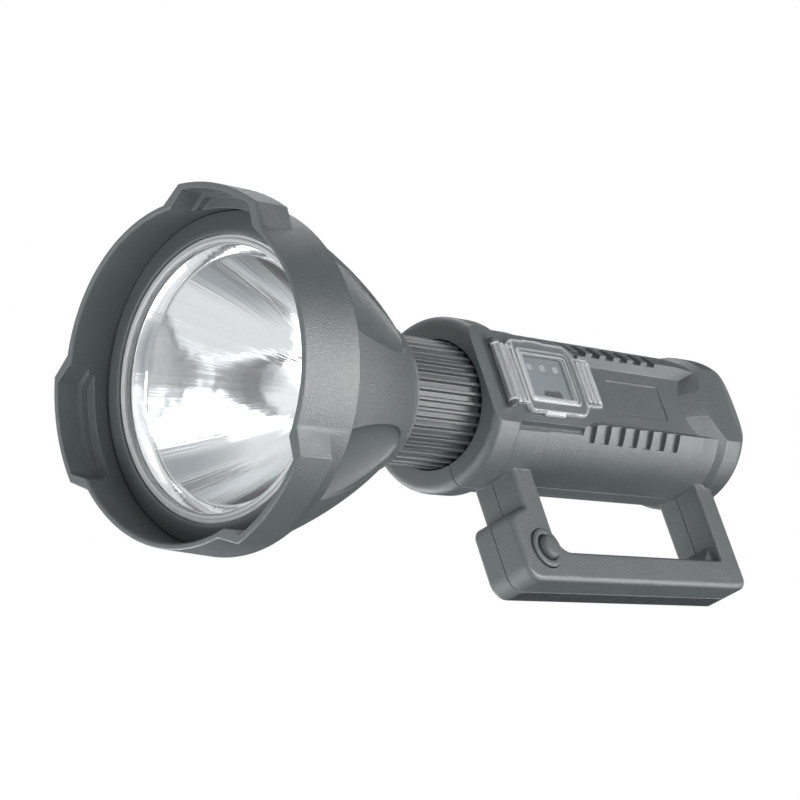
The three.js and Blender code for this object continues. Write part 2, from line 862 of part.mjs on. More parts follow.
// The deck: flat steps cut into the barrel, the lid's platform on them and a sloped channel behind
function cutDeck(barrel) {
    const reach = bodyRingRadius + overrun;
    const front = bodyFrontStation - overrun;
    const flat = block(platformHeight, reach, front, platformRearStation, -reach, reach);
    const shelf = block(shelfHeight, reach, ringRearStation, shelfRearStation, -reach, reach);
    const platform = slab(polygon([
        [bodyFrontStation + bodyRingRound, -platformHalfWidth],
        [platformRearStation - platformCornerRun, -platformHalfWidth],
        [platformRearStation, -platformHalfWidth + platformCornerRise],
        [platformRearStation, platformHalfWidth - platformCornerRise],
        [platformRearStation - platformCornerRun, platformHalfWidth],
        [bodyFrontStation + bodyRingRound, platformHalfWidth],
    ]), channelHeight - platformWall, platformHeight);
    const slope = channelFlare / (platformHeight - channelHeight);
    const top = channelHalfWidth + slope * (reach - channelHeight);
    const channel = along(polygon([
        [-channelHalfWidth, channelHeight],
        [channelHalfWidth, channelHeight],
        [top, reach],
        [-top, reach],
    ]), platformRearStation, cavityEndStation + overrun);
    return cut(cut(barrel, flat, shelf).add(platform), channel);
}

// Wedge notches across both shoulders of the channel
function makeNotches() {
    const notches = [];
    for (const side of [-1, 1]) {
        for (let i = 0; i < notchCount; i++) {
            const depth = barrelRadius - notchFloorRadius + overrun;
            const notch = new THREE.BoxGeometry(depth, notchWidth, 2 * notchHalfLength);
            notch.translate(notchFloorRadius + depth / 2, notchFirstStation + i * notchPitch, 0);
            notches.push(solid(notch.rotateY(side * THREE.MathUtils.degToRad(notchTilt))));
        }
    }
    return notches;
}

// The D handle's outline in (station, height), with its finger opening as a hole
function handleOutline() {
    const bottom = -axisHeight;
    const rear = rearPostRearStation;
    const shape = new THREE.Shape();
    shape.moveTo(postFrontStation, -handleRootDepth);
    shape.lineTo(postFrontStation, -footShoulderDepth);
    shape.lineTo(footFrontStation + footTopRound, -footTopDepth);
    shape.quadraticCurveTo(
        footFrontStation, -footTopDepth, footFrontStation, -footTopDepth - footTopRound);
    shape.lineTo(footFrontStation, bottom + footBottomRound);
    shape.absarc(
        footFrontStation + footBottomRound, bottom + footBottomRound,
        footBottomRound, Math.PI, 1.5 * Math.PI);
    shape.lineTo(rear - rearBottomRound, bottom);
    shape.absarc(rear - rearBottomRound, bottom + rearBottomRound, rearBottomRound, -Math.PI / 2, 0);
    shape.lineTo(rear, -handleRootDepth);
    const opening = new THREE.Path();
    opening.moveTo(openingFront, -keelDepth);
    opening.lineTo(openingFront, barTop + openingFrontRound);
    opening.absarc(
        openingFront + openingFrontRound, barTop + openingFrontRound,
        openingFrontRound, Math.PI, 1.5 * Math.PI);
    opening.lineTo(rearPostFrontStation - openingRearRound, barTop);
    opening.absarc(
        rearPostFrontStation - openingRearRound, barTop + openingRearRound,
        openingRearRound, -Math.PI / 2, 0);
    opening.lineTo(rearPostFrontStation, -keelDepth);
    shape.holes.push(opening);
    return shape;
}

// The web in the opening's rear lower corner, narrower than the handle
function makeWeb() {
    return slab(polygon([
        [rearPostFrontStation - webLeg, barTop - barHeight / 2],
        [rearPostFrontStation + webLeg / 2, barTop - barHeight / 2],
        [rearPostFrontStation + webLeg / 2, barTop + webLeg],
        [rearPostFrontStation, barTop + webLeg],
        [rearPostFrontStation - webLeg, barTop],
    ]), -webHalfWidth, webHalfWidth);
}

// The space inside the barrel: round, and flat under the platform and under the channel
function makeCavity() {
    const round = turned([
        [0, cavityFrontStation],
        [cavityRadius, cavityFrontStation],
        [cavityRadius, cavityEndStation],
        [0, cavityEndStation],
    ], middleTurn);
    const reach = cavityRadius + overrun;
    const roofEnd = platformRearStation - channelWall;
    const platformRoof = block(
        platformUnderside, reach, cavityFrontStation - overrun, roofEnd, -reach, reach);
    const channelRoof = block(
        channelUnderside, reach, roofEnd, cavityEndStation + overrun, -reach, reach);
    return cut(round, platformRoof, channelRoof);
}

function makeScrewHoles() {
    const tip = screwShankLength - screwSeat + screwHoleMargin;
    const outside = -bodyRingRadius - overrun;
    return screwPlaces.flatMap(({ station, height }) => [
        crossBar(screwShankRadius + fitGap, -screwSeat - overrun, tip, station, height),
        crossBar(screwHeadRadius + fitGap, outside, -screwSeat, station, height),
    ]);
}

function makeHingeLugs() {
    const spans = [
        [-hingeLugOutside, -hingeLugInside],
        [hingeLugInside, hingeLugOutside],
    ];
    const lugs = spans.map(([from, to]) => joined(
        uprightBar(knuckleRadius, from, to, hingeHeight, hingeStation),
        block(
            platformUnderside, hingeHeight,
            hingeStation - knuckleRadius, hingeStation + knuckleRadius,
            from, to),
    ));
    return joined(...lugs);
}

function makeBody() {
    const deck = cutDeck(makeBarrel().subtract(makeWaist()));
    const handle = slab(handleOutline(), -handleHalf, handleHalf, handleEdge);
    const outside = joined(cut(deck, ...makeNotches()), makeTail(), handle, makeWeb(), makeHingeLugs());
    const recess = turned([
        [0, bodyFrontStation - overrun],
        [collarRibRadius + recessGap, bodyFrontStation - overrun],
        [collarRibRadius + recessGap, recessFloorStation],
        [sleeveHole, recessFloorStation],
        [sleeveHole, cavityFrontStation + overrun],
        [0, cavityFrontStation + overrun],
    ], middleTurn);
    const panelOpening = block(
        platformUnderside - overrun, platformHeight + overrun,
        panelFrontStation, panelRearStation, -panelHalfWidth, panelHalfWidth);
    const label = slab(
        roundedRectangle(labelFrontStation, labelRearStation, -labelHalfWidth, labelHalfWidth, labelRound),
        channelHeight - labelDepth, channelHeight + overrun);
    const flangeRoom = crossBar(
        buttonFlangeRadius + fitGap, switchTop, buttonWallInside,
        buttonStation, -buttonDepth, middleTurn);
    const switchCavity = block(
        -switchCavityFloor, buttonWallInside,
        buttonStation - switchCavityHalfLength, buttonStation + switchCavityHalfLength,
        -buttonDepth - switchCavityBottomRun, switchCavityTopRun - buttonDepth);
    const wireStation = buttonStation - wireChannelOffset;
    const wireChannel = block(
        -wireChannelHalf, wireChannelHalf,
        wireStation - wireChannelHalf, wireStation + wireChannelHalf,
        -buttonDepth, wireChannelHalf - cavityRadius);
    const pinHole = uprightBar(
        hingePinHole, -hingeLugOutside - overrun, hingeLugOutside + overrun, hingeHeight, hingeStation);
    const buttonBore = crossBar(
        buttonHole, buttonWallInside - overrun / 2, handleHalf + overrun,
        buttonStation, -buttonDepth, middleTurn);
    const buttonRingSeatCut = crossBar(
        buttonRingRadius + fitGap, handleHalf - buttonRingSeat, handleHalf + overrun,
        buttonStation, -buttonDepth, middleTurn);
    return cut(
        outside, recess, makeCavity(), panelOpening, label, flangeRoom, switchCavity, wireChannel,
        pinHole, buttonBore, buttonRingSeatCut, ...makeScrewHoles());
}

const body = makeBody();
const far = 2 * tailEndStation;
const rightFace = seamGap / 2 - seamOffset;
const leftFace = -seamGap / 2 - seamOffset;
piece('right_shell', body.subtract(block(-far, rightFace, -far, far, -far, far)), darkPlastic);
piece('left_shell', body.subtract(block(leftFace, far, -far, far, -far, far)), darkPlastic);

// Push button, its ring, and the switch on its board

// A piece turned about the button's axis: it is drawn upright and laid over to face the deck side
function buttonPiece(name, profile, finish) {
    const mesh = piece(name, turned(profile, middleTurn), finish);
    mesh.rotation.z = -Math.PI / 2;
    mesh.position.set(0, buttonStation, -buttonDepth);
    return mesh;
}

function buttonProfile() {
    const dome = [];
    for (let i = 0; i < arcStops; i++) {
        const angle = Math.PI / 2 * i / arcStops;
        dome.push([buttonRadius * Math.cos(angle), buttonTop - buttonDome + buttonDome * Math.sin(angle)]);
    }
    return [
        [0, buttonRear],
        [buttonFlangeRadius, buttonRear],
        [buttonFlangeRadius, buttonFlangeTop],
        [buttonRadius, buttonFlangeTop],
        ...dome,
        [0, buttonTop],
    ];
}
buttonPiece('push_button', buttonProfile(), darkRubber);

const buttonRingBottom = handleHalf - buttonRingSeat + fitGap;
const buttonRingTop = handleHalf + buttonRingProud;
buttonPiece('button_ring', [
    [buttonHole, buttonRingBottom],
    [buttonRingRadius, buttonRingBottom],
    [buttonRingRadius, buttonRingTop - buttonRingEdge],
    [buttonRingRadius - buttonRingEdge, buttonRingTop],
    [buttonHole, buttonRingTop],
], darkPlastic);

function makeSwitch() {
    const half = switchSide / 2;
    const shoulder = switchTop - switchPlungerLength;
    const base = block(
        switchRear, shoulder,
        buttonStation - half, buttonStation + half,
        -buttonDepth - half, half - buttonDepth);
    const plunger = crossBar(
        switchPlungerRadius, shoulder - fitGap, switchTop, buttonStation, -buttonDepth);
    return base.add(plunger);
}
piece('button_switch', makeSwitch(), darkRubber);

const switchBoard = block(
    switchBoardRear, switchBoardRear + switchBoardThickness,
    buttonStation - switchBoardHalfWidth, buttonStation + switchBoardHalfWidth,
    -buttonDepth - switchBoardBottomRun, switchBoardTopRun - buttonDepth);
piece('switch_board', switchBoard, boardGreen);

// Display panel, light windows, control board and charging socket

function portOutline(margin) {
    const halfWidth = portHalfWidth + margin;
    const halfLength = portHalfLength + margin;
    return roundedRectangle(
        portStation - halfLength, portStation + halfLength,
        portRow - halfWidth, portRow + halfWidth, halfWidth * portRoundShare);
}

function windowBlock(index, margin, bottom, top) {
    const station = windowMiddleStation + (index - (windowCount - 1) / 2) * windowPitch;
    const halfLength = windowLength / 2 + margin;
    const halfWidth = windowWidth / 2 + margin;
    return block(
        bottom, top, station - halfLength, station + halfLength,
        windowRow - halfWidth, windowRow + halfWidth);
}

function makePanel() {
    const plate = block(
        panelFlangeBottom, panelTop,
        panelFrontStation + fitGap, panelRearStation - fitGap,
        fitGap - panelHalfWidth, panelHalfWidth - fitGap);
    const flange = block(
        panelFlangeBottom, panelFlangeTop,
        panelFrontStation - panelFlange, panelRearStation + panelFlange,
        -panelHalfWidth - panelFlange, panelHalfWidth + panelFlange);
    const low = panelFlangeBottom - overrun;
    const high = panelTop + overrun;
    const holes = [slab(portOutline(fitGap), low, high)];
    for (let i = 0; i < windowCount; i++) holes.push(windowBlock(i, fitGap, low, high));
    return cut(plate.add(flange), ...holes);
}
piece('display_panel', makePanel(), palePlastic);

for (let i = 0; i < windowCount; i++) {
    const lightWindow = windowBlock(i, 0, panelFlangeBottom, panelTop + windowProud);
    piece(`light_window_${i + 1}`, lightWindow, clearPlastic);
}

piece('control_board', block(
    boardTop - controlBoardThickness, boardTop,
    controlBoardFrontStation, controlBoardRearStation,
    -controlBoardHalfWidth, controlBoardHalfWidth), boardGreen);

function makeSocket() {
    const top = panelTop - portSink;
    const shell = slab(portOutline(0), panelFlangeBottom, top);
    const hollow = slab(portOutline(-portWall), panelFlangeBottom + portFloor, top + overrun);
    const tongue = block(
        panelFlangeBottom, top - portTongueSink,
        portStation - portTongueHalfLength, portStation + portTongueHalfLength,
        portRow - portTongueHalfWidth, portRow + portTongueHalfWidth);
    return cut(shell, hollow).add(tongue);
}
piece('charge_socket', makeSocket(), steel);

// Clear lid with its hinge pin

function makeLid() {
    const middle = lidHalfWidth - lidCorner;
    const plate = slab(polygon([
        [lidFrontStation, -middle],
        [lidFrontStation + lidCorner, -lidHalfWidth],
        [lidRearStation - lidCorner, -lidHalfWidth],
        [lidRearStation, -middle],
        [lidRearStation, middle],
        [lidRearStation - lidCorner, lidHalfWidth],
        [lidFrontStation + lidCorner, lidHalfWidth],
        [lidFrontStation, middle],
    ]), lidUnderside, lidTop, lidEdge);
    const windowTop = lidTop + lidWindowRise;
    const raised = slab(
        roundedRectangle(
            lidWindowFrontStation, lidWindowRearStation,
            -lidWindowHalfWidth, lidWindowHalfWidth, lidWindowRound),
        lidUnderside + lidEdge, windowTop, lidEdge);
    const hollow = slab(
        roundedRectangle(
            lidWindowFrontStation + lidRimWall, lidWindowRearStation - lidRimWall,
            lidRimWall - lidWindowHalfWidth, lidWindowHalfWidth - lidRimWall, lidWindowRound),
        lidUnderside - overrun, windowTop - lidSkin);
    const neck = block(
        lidUnderside, lidTop - lidEdge, hingeStation, lidFrontStation + lidCorner,
        -hingeHalfWidth, hingeHalfWidth);
    const knuckles = uprightBar(knuckleRadius, -hingeHalfWidth, hingeHalfWidth, hingeHeight, hingeStation);
    const tab = slab(
        roundedRectangle(
            lidRearStation - lidCorner, lidTabRearStation, -lidTabHalfWidth, lidTabHalfWidth, lidTabRound),
        lidUnderside + lidTabUndercut, lidTop, lidEdge / 2);
    const ribs = [];
    const pitch = (lidTabRearStation - lidRearStation) / lidTabRibCount;
    for (let i = 0; i < lidTabRibCount; i++) {
        const station = lidRearStation + (i + 1 / 2) * pitch;
        ribs.push(block(
            lidTop - lidEdge, lidTop + lidTabRibHeight,
            station - lidTabRibWidth / 2, station + lidTabRibWidth / 2,
            lidTabRound - lidTabHalfWidth, lidTabHalfWidth - lidTabRound));
    }
    const catches = block(
        lidUnderside, lidUnderside + lidCatchHeight, lidCatchFrontStation, lidCatchRearStation,
        -lidHalfWidth - lidCatchProud, lidHalfWidth + lidCatchProud);
    for (let i = 1; i <= hingeRibCount; i++) {
        const station = hingeStation + i * hingeRibPitch;
        ribs.push(block(
            lidUnderside, lidTop + hingeRibHeight,
            station - hingeRibWidth / 2, station + hingeRibWidth / 2,
            -hingeHalfWidth, hingeHalfWidth));
    }
    const pinHole = uprightBar(
        hingePinHole, -hingeHalfWidth - overrun, hingeHalfWidth + overrun, hingeHeight, hingeStation);
    return cut(joined(plate, raised, neck, knuckles, tab, catches, ...ribs), hollow, pinHole);
}
piece('charge_lid', makeLid(), clearPlastic);

piece('lid_hinge_pin', uprightBar(
    hingePinRadius, -hingeLugOutside, hingeLugOutside, hingeHeight, hingeStation), steel);

// Battery cells and their end plates

function makeCell() {
    const rear = cellLength - cellEdge;
    return turned([
        [0, 0],
        [cellButtonRadius, 0],
        [cellButtonRadius, cellButtonHeight],
        [cellRadius - cellEdge, cellButtonHeight],
        [cellRadius, cellButtonHeight + cellEdge],
        [cellRadius, rear],
        [cellRadius - cellEdge, cellLength],
        [0, cellLength],
    ], smallTurn);
}

for (let i = 0; i < cellCount; i++) {
    const angle = Math.PI + 2 * Math.PI * i / cellCount;
    const cell = piece(`battery_cell_${i + 1}`, makeCell(), cellSleeve);
    cell.position.set(cellRing * Math.cos(angle), cellFront, cellRing * Math.sin(angle));
}

function makeCellPlate(front) {
    const radius = cavityRadius - fitGap;
    const disc = turned([
        [0, front],
        [radius, front],
        [radius, front + cellPlateThickness],
        [0, front + cellPlateThickness],
    ], middleTurn);
    return disc.subtract(block(
        channelUnderside - fitGap, radius + overrun,
        front - overrun, front + cellPlateThickness + overrun, -radius, radius));
}
piece('cell_plate_front', makeCellPlate(frontPlateFront), darkRubber);
piece('cell_plate_rear', makeCellPlate(rearPlateFront), darkRubber);

// Shell screws, driven in from the left side

const screwProfile = [
    [0, -screwHeadHeight],
    [screwHeadRadius * screwCrownShare, -screwHeadHeight],
    [screwHeadRadius, -screwHeadHeight / 2],
    [screwHeadRadius, 0],
    [screwShankRadius, 0],
    [screwShankRadius, screwShankLength - screwPoint],
    [0, screwShankLength],
];
screwPlaces.forEach(({ station, height }, i) => {
    const screw = piece(`shell_screw_${i + 1}`, turned(screwProfile, smallTurn), steel);
    screw.rotation.z = -Math.PI / 2;
    screw.position.set(-screwSeat - fitGap, station, height);
});

const flashlight = new THREE.Group();
flashlight.add(lamp);

export default flashlight;
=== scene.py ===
import math

import bmesh
import bpy
from mathutils import Matrix, Vector


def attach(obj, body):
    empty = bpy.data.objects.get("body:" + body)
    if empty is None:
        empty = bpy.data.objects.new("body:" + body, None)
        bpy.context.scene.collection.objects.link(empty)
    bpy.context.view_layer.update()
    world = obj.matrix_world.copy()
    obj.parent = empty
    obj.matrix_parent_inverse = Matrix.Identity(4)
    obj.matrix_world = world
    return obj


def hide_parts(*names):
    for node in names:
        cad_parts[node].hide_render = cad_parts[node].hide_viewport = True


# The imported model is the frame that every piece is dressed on.
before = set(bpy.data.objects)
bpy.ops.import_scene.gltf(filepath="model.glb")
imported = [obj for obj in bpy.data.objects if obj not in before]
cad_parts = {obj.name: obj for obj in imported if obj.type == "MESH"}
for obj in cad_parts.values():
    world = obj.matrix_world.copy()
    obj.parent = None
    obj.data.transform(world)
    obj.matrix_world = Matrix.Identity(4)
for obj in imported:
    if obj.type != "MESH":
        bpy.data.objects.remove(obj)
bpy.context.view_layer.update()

# Camera
# It stands in front of the lamp's deck side and a little below the beam, and looks up along it.
# Its place, its three directions and its focal length in pixels come from fitting the photograph.
SENSOR_WIDTH = 36
CAMERA_PLACE = Vector((0.399688, -0.601430, -0.187261))
CAMERA_RIGHT = Vector((0.68844366, 0.66715549, -0.28451518))
CAMERA_UP = Vector((0.44810707, -0.08279760, 0.89013741))
CAMERA_BACK = Vector((0.57030288, -0.74030272, -0.35595857))
FOCAL_PIXELS = 2316.35
PHOTO_WIDTH = 800

camera_data = bpy.data.cameras.new("camera")
camera_data.sensor_width = SENSOR_WIDTH
camera_data.lens = FOCAL_PIXELS / PHOTO_WIDTH * SENSOR_WIDTH
camera_data.clip_start = 0.01
camera_data.clip_end = 20
camera = bpy.data.objects.new("camera", camera_data)
turn = Matrix((CAMERA_RIGHT, CAMERA_UP, CAMERA_BACK)).transposed().to_4x4()
camera.matrix_world = Matrix.Translation(CAMERA_PLACE) @ turn
bpy.context.collection.objects.link(camera)
bpy.context.scene.camera = camera
bpy.context.scene.view_settings.view_transform = "Standard"

# Floor
# A pale sheet of painted board under the lamp. It shows from above only: the photograph looks up
# from below the handle's base, where a solid floor would hide the lamp.
FLOOR_HALF = 3.0
FLOOR_COLOUR = "e9eaeb"
FLOOR_LIFT = 0.5


def colour(sheet_hex):
    """A colour written as sRGB hex, as the linear value that a shader takes."""
    levels = [int(sheet_hex[i:i + 2], 16) / 255 for i in (0, 2, 4)]
    linear = [v / 12.92 if v <= 0.04045 else ((v + 0.055) / 1.055) ** 2.4 for v in levels]
    return (*linear, 1.0)


def add(tree, kind, inputs=None, **settings):
    """One shader node, with its settings, its values and the sockets that feed it."""
    node = tree.nodes.new(kind)
    for name, value in settings.items():
        setattr(node, name, value)
    for name, value in (inputs or {}).items():
        if isinstance(value, bpy.types.NodeSocket):
            tree.links.new(value, node.inputs[name])
        else:
            node.inputs[name].default_value = value
    return node


def blank(name):
    """A named material with an empty node tree."""
    material = bpy.data.materials.new(name)
    material.use_nodes = True
    material.node_tree.nodes.clear()
    return material


def painted_board():
    """Board under matt emulsion paint: flat and even, with nothing on it but the lamp's soft
    shadow. The paint is lifted for the camera alone, and the board is clear from below."""
    material = blank("painted_board")
    tree = material.node_tree
    matt = add(tree, "ShaderNodeBsdfDiffuse", {"Color": colour(FLOOR_COLOUR)})
    ray = add(tree, "ShaderNodeLightPath")
    lift = add(tree, "ShaderNodeMath", {
        0: ray.outputs["Is Camera Ray"], 1: FLOOR_LIFT}, operation="MULTIPLY")
    pale = add(tree, "ShaderNodeEmission", {
        "Color": colour(FLOOR_COLOUR), "Strength": lift.outputs["Value"]})
    paint = add(tree, "ShaderNodeAddShader", {0: matt.outputs["BSDF"], 1: pale.outputs["Emission"]})
    clear = add(tree, "ShaderNodeBsdfTransparent")
    side = add(tree, "ShaderNodeNewGeometry")
    seen = add(tree, "ShaderNodeMixShader", {
        0: side.outputs["Backfacing"], 1: paint.outputs["Shader"], 2: clear.outputs["BSDF"]})
    add(tree, "ShaderNodeOutputMaterial", {"Surface": seen.outputs["Shader"]})
    return material


sweep = bmesh.new()
bmesh.ops.create_grid(sweep, x_segments=1, y_segments=1, size=FLOOR_HALF)
floor_mesh = bpy.data.meshes.new("floor")
sweep.to_mesh(floor_mesh)
sweep.free()
floor_mesh.materials.append(painted_board())
floor = bpy.data.objects.new("floor", floor_mesh)
bpy.context.collection.objects.link(floor)
floor.visible_diffuse = False
floor.visible_glossy = False
floor.visible_transmission = False
floor.visible_shadow = False

# Studio light
# A white tent round the lamp, with softboxes below its level on the deck side, in front and
# behind, and one above for the floor's shadow. Glossy surfaces see the tent white, but for two
# grey flags that keep the dark plastic dark.
TENT_COLOUR = "f6f9fc"
TENT_LEVEL = 0.30
WHITE_LEVEL = 1.0
SOFTBOX_AIM = (0, -0.06, 0.06)
SOFTBOX_REACH = 1.2
FLAGS = (
    ((0.643, -0.372, -0.669), 0.80, 0.95, "a4a9ac"),
    ((0.25, 0.96, -0.15), -0.05, 0.38, "34383b"),
)


def blend(tree, share, first, second):
    """A colour between two others, by the share of the second."""
    mix = add(tree, "ShaderNodeMix", {0: share, 6: first, 7: second}, data_type="RGBA")
    return mix.outputs[2]


def ranged(tree, value, taken=(0, 1), given=(0, 1)):
    """A value taken between two numbers and given back between two others, held at both ends."""
    moved = add(tree, "ShaderNodeMapRange", {
        "Value": value, "From Min": taken[0], "From Max": taken[1],
        "To Min": given[0], "To Max": given[1]})
    return moved.outputs["Result"]


def studio_world():
    """The tent. A flag hangs in one direction: it begins where the cosine of the angle to it is
    the first number, and is full where it is the second."""
    world = bpy.data.worlds.new("studio")
    world.use_nodes = True
    tree = world.node_tree
    tree.nodes.clear()
    place = add(tree, "ShaderNodeTexCoord")
    tent = colour("ffffff")
    for direction, edge, middle, grey in FLAGS:
        toward = add(tree, "ShaderNodeVectorMath", {
            0: place.outputs["Generated"], 1: direction}, operation="DOT_PRODUCT")
        flag = ranged(tree, toward.outputs["Value"], (edge, middle))
        tent = blend(tree, flag, tent, colour(grey))
    shine = add(tree, "ShaderNodeBackground", {"Color": tent, "Strength": WHITE_LEVEL})
    white = add(tree, "ShaderNodeBackground", {"Color": (1, 1, 1, 1), "Strength": WHITE_LEVEL})
    soft = add(tree, "ShaderNodeBackground", {"Color": colour(TENT_COLOUR), "Strength": TENT_LEVEL})
    ray = add(tree, "ShaderNodeLightPath")
    glossy = add(tree, "ShaderNodeMixShader", {
        0: ray.outputs["Is Glossy Ray"], 1: soft.outputs[0], 2: shine.outputs[0]})
    through = add(tree, "ShaderNodeMixShader", {
        0: ray.outputs["Is Transmission Ray"], 1: glossy.outputs[0], 2: shine.outputs[0]})
    seen = add(tree, "ShaderNodeMixShader", {
        0: ray.outputs["Is Camera Ray"], 1: through.outputs[0], 2: white.outputs[0]})
    add(tree, "ShaderNodeOutputWorld", {"Surface": seen.outputs[0]})
    return world


def softbox(name, bearing, rise, size, watts, sheen_only=False):
    """A square softbox at SOFTBOX_REACH from the lamp. Its bearing is counted from the front of
    the beam towards the deck side, and its rise from the level of the beam, both in degrees. A
    sheen box is seen in reflections alone, and adds no light to matt colour."""
    light = bpy.data.lights.new(name, "AREA")
    light.shape = "SQUARE"
    light.size = size
    light.energy = watts
    box = bpy.data.objects.new(name, light)
    turn, lift = math.radians(bearing), math.radians(rise)
    level = math.cos(lift)
    away = Vector((math.sin(turn) * level, -math.cos(turn) * level, math.sin(lift)))
    middle = Vector(SOFTBOX_AIM)
    aim = (-away).to_track_quat("-Z", "Y").to_matrix().to_4x4()
    box.matrix_world = Matrix.Translation(middle + SOFTBOX_REACH * away) @ aim
    box.visible_diffuse = not sheen_only
    bpy.context.collection.objects.link(box)


bpy.context.scene.world = studio_world()
softbox("key", 122, -30, 0.5, 6.5)
softbox("side", 72, -16, 0.5, 4.5)
softbox("front", 0, -16, 0.5, 2.5)
softbox("fill", -20, -30, 0.8, 7.5)
softbox("rim", 270, -20, 0.6, 10)
softbox("top", 180, 65, 0.6, 4)
softbox("barrel_sheen", 148, -33, 0.45, 8, sheen_only=True)
softbox("crown_sheen", 125, -10, 0.45, 16, sheen_only=True)

# Crown
# The bumper round the lens: one moulding in dark grey ABS, a thin band with three hollow lugs.
# The lugs are open to the front, and their floors step down inside. It is pressed on the cone.
AXIS_HEIGHT = 61.9
BASE_MIDDLE = 173.5
CROWN_FRONT_RADIUS = 48.2
CROWN_REAR_RADIUS = 49.7
CROWN_LENGTH = 20.0
CROWN_WALL = 1.8
CROWN_EDGE = 0.6
LUG_CLOCKS = (21.4, 141.4, 261.4)
LUG_RADIUS = 53.0
LUG_LENGTH = 12.6
LUG_FLOOR = 2.2
LUG_FLAT = 17.5
LUG_FOOT = 26.7
LUG_STOPS = 10
VALLEY_STOPS = 30
POCKET_STEP = 1.1
POCKET_RISE = 2.6
OVERRUN = 6.0
TURN_STEPS = 160
ABS_GREY = "62686a"
ABS_SHADE = "565c5e"
# Painted highlight: the colour laid along the rounded edges of moulded parts.
EDGE_HIGHLIGHT_GREY = "8b9193"
GRAIN_MM = 0.42
MOTTLES_PER_METRE = 60.0
ROUGH_SPREAD = 0.08
EDGE_HIGHLIGHT_BENDS = (0.985, 0.80)
EDGE_HIGHLIGHT_MOST = 0.7
BLASTED_PAST = 0.0665
BLASTED_RUN = 0.003
BLASTED_ROUGH = 0.5


def edge_bend(tree, round_edge):
    """How far a rounded edge turns from its face: the cosine of the angle, 1 where it is flat."""
    facing = add(tree, "ShaderNodeNewGeometry")
    bend = add(tree, "ShaderNodeVectorMath", {
        0: round_edge.outputs["Normal"], 1: facing.outputs["Normal"]}, operation="DOT_PRODUCT")
    return bend.outputs["Value"]


def moulded(name, base=ABS_GREY, shade=ABS_SHADE, grain=GRAIN_MM, relief=0.45, rough=0.38,
            edge=0.35, edge_highlight_tone=EDGE_HIGHLIGHT_GREY, blasted_past=None):
    """A moulded polymer skin. Left as they stand, the values are ABS from a spark-eroded mould: a
    fine pebbled grain that breaks the highlights up into specks, a slight flow mottle, and small
    round edges painted in a paler tone, a painted highlight along them. The grain is drawn about
    twice as coarse as it is, so that it shows. Past the given place along the beam, the mould was
    blasted matt."""
    material = blank(name)
    tree = material.node_tree
    place = add(tree, "ShaderNodeTexCoord")
    here = place.outputs["Object"]
    mottle = add(tree, "ShaderNodeTexNoise", {
        "Vector": here, "Scale": MOTTLES_PER_METRE, "Detail": 3.0})
    tone = blend(tree, mottle.outputs["Fac"], colour(shade), colour(base))
    pebble = add(tree, "ShaderNodeTexNoise", {
        "Vector": here, "Scale": 1000 / grain, "Detail": 2.0, "Roughness": 0.6})
    gloss = ranged(
        tree, pebble.outputs["Fac"], given=(rough - ROUGH_SPREAD, rough + ROUGH_SPREAD))
    if blasted_past is not None:
        parts = add(tree, "ShaderNodeSeparateXYZ", {0: here})
        blasted = ranged(
            tree, parts.outputs["Y"], (blasted_past - BLASTED_RUN, blasted_past),
            (0, BLASTED_ROUGH))
        matt = add(tree, "ShaderNodeMath", {0: gloss, 1: blasted}, operation="ADD")
        gloss = matt.outputs["Value"]
    round_edge = add(tree, "ShaderNodeBevel", {"Radius": edge / 1000}, samples=4)
    relieved = add(tree, "ShaderNodeBump", {
        "Height": pebble.outputs["Fac"], "Strength": relief, "Distance": grain / 1000,
        "Normal": round_edge.outputs["Normal"]})
    # Painted highlight: the rounded edges turn towards another tone, paler for most materials.
    painted_edge_highlight = ranged(tree, edge_bend(tree, round_edge), EDGE_HIGHLIGHT_BENDS, (0, EDGE_HIGHLIGHT_MOST))
    plastic = add(tree, "ShaderNodeBsdfPrincipled", {
        "Base Color": blend(tree, painted_edge_highlight, tone, colour(edge_highlight_tone)), "Roughness": gloss, "IOR": 1.53,
        "Normal": relieved.outputs["Normal"]})
    add(tree, "ShaderNodeOutputMaterial", {"Surface": plastic.outputs["BSDF"]})
    return material


shell_abs = moulded("grained_abs", blasted_past=BLASTED_PAST)


def drawn(corners, place, segments=4):
    """A flat face through the corners. A third number of a corner is the round it gets."""
    bm = bmesh.new()
    verts = [bm.verts.new(place(corner[0], corner[1])) for corner in corners]
    bm.faces.new(verts)
    for vert, corner in zip(verts, corners):
        if len(corner) > 2:
            bmesh.ops.bevel(bm, geom=[vert], offset=corner[2], offset_type="OFFSET",
                            affect="VERTICES", segments=segments, profile=0.5, material=-1)
    return bm


def turned(profile, steps=TURN_STEPS, segments=4):
    """A profile of (radius, station) corners, spun about the beam axis into a closed solid."""
    bm = drawn(profile, lambda radius, station: (radius, station, 0), segments)
    bmesh.ops.delete(bm, geom=bm.faces[:], context="FACES_ONLY")
    core = [e for e in bm.edges if max(abs(v.co.x) for v in e.verts) < 1e-6]
    bmesh.ops.delete(bm, geom=core, context="EDGES")
    bmesh.ops.spin(bm, geom=bm.verts[:] + bm.edges[:], cent=(0, 0, 0), axis=(0, 1, 0),
                   angle=2 * math.pi, steps=steps, use_merge=True)
    bmesh.ops.remove_doubles(bm, verts=bm.verts, dist=1e-4)
    bmesh.ops.recalc_face_normals(bm, faces=bm.faces)
    return bm


def rolled(bm, edges, width, segments=3):
    """The given edges rounded over, width millimetres back from the corner."""
    bmesh.ops.bevel(bm, geom=edges, offset=width, offset_type="OFFSET", affect="EDGES",
                    segments=segments, profile=0.5, material=-1)


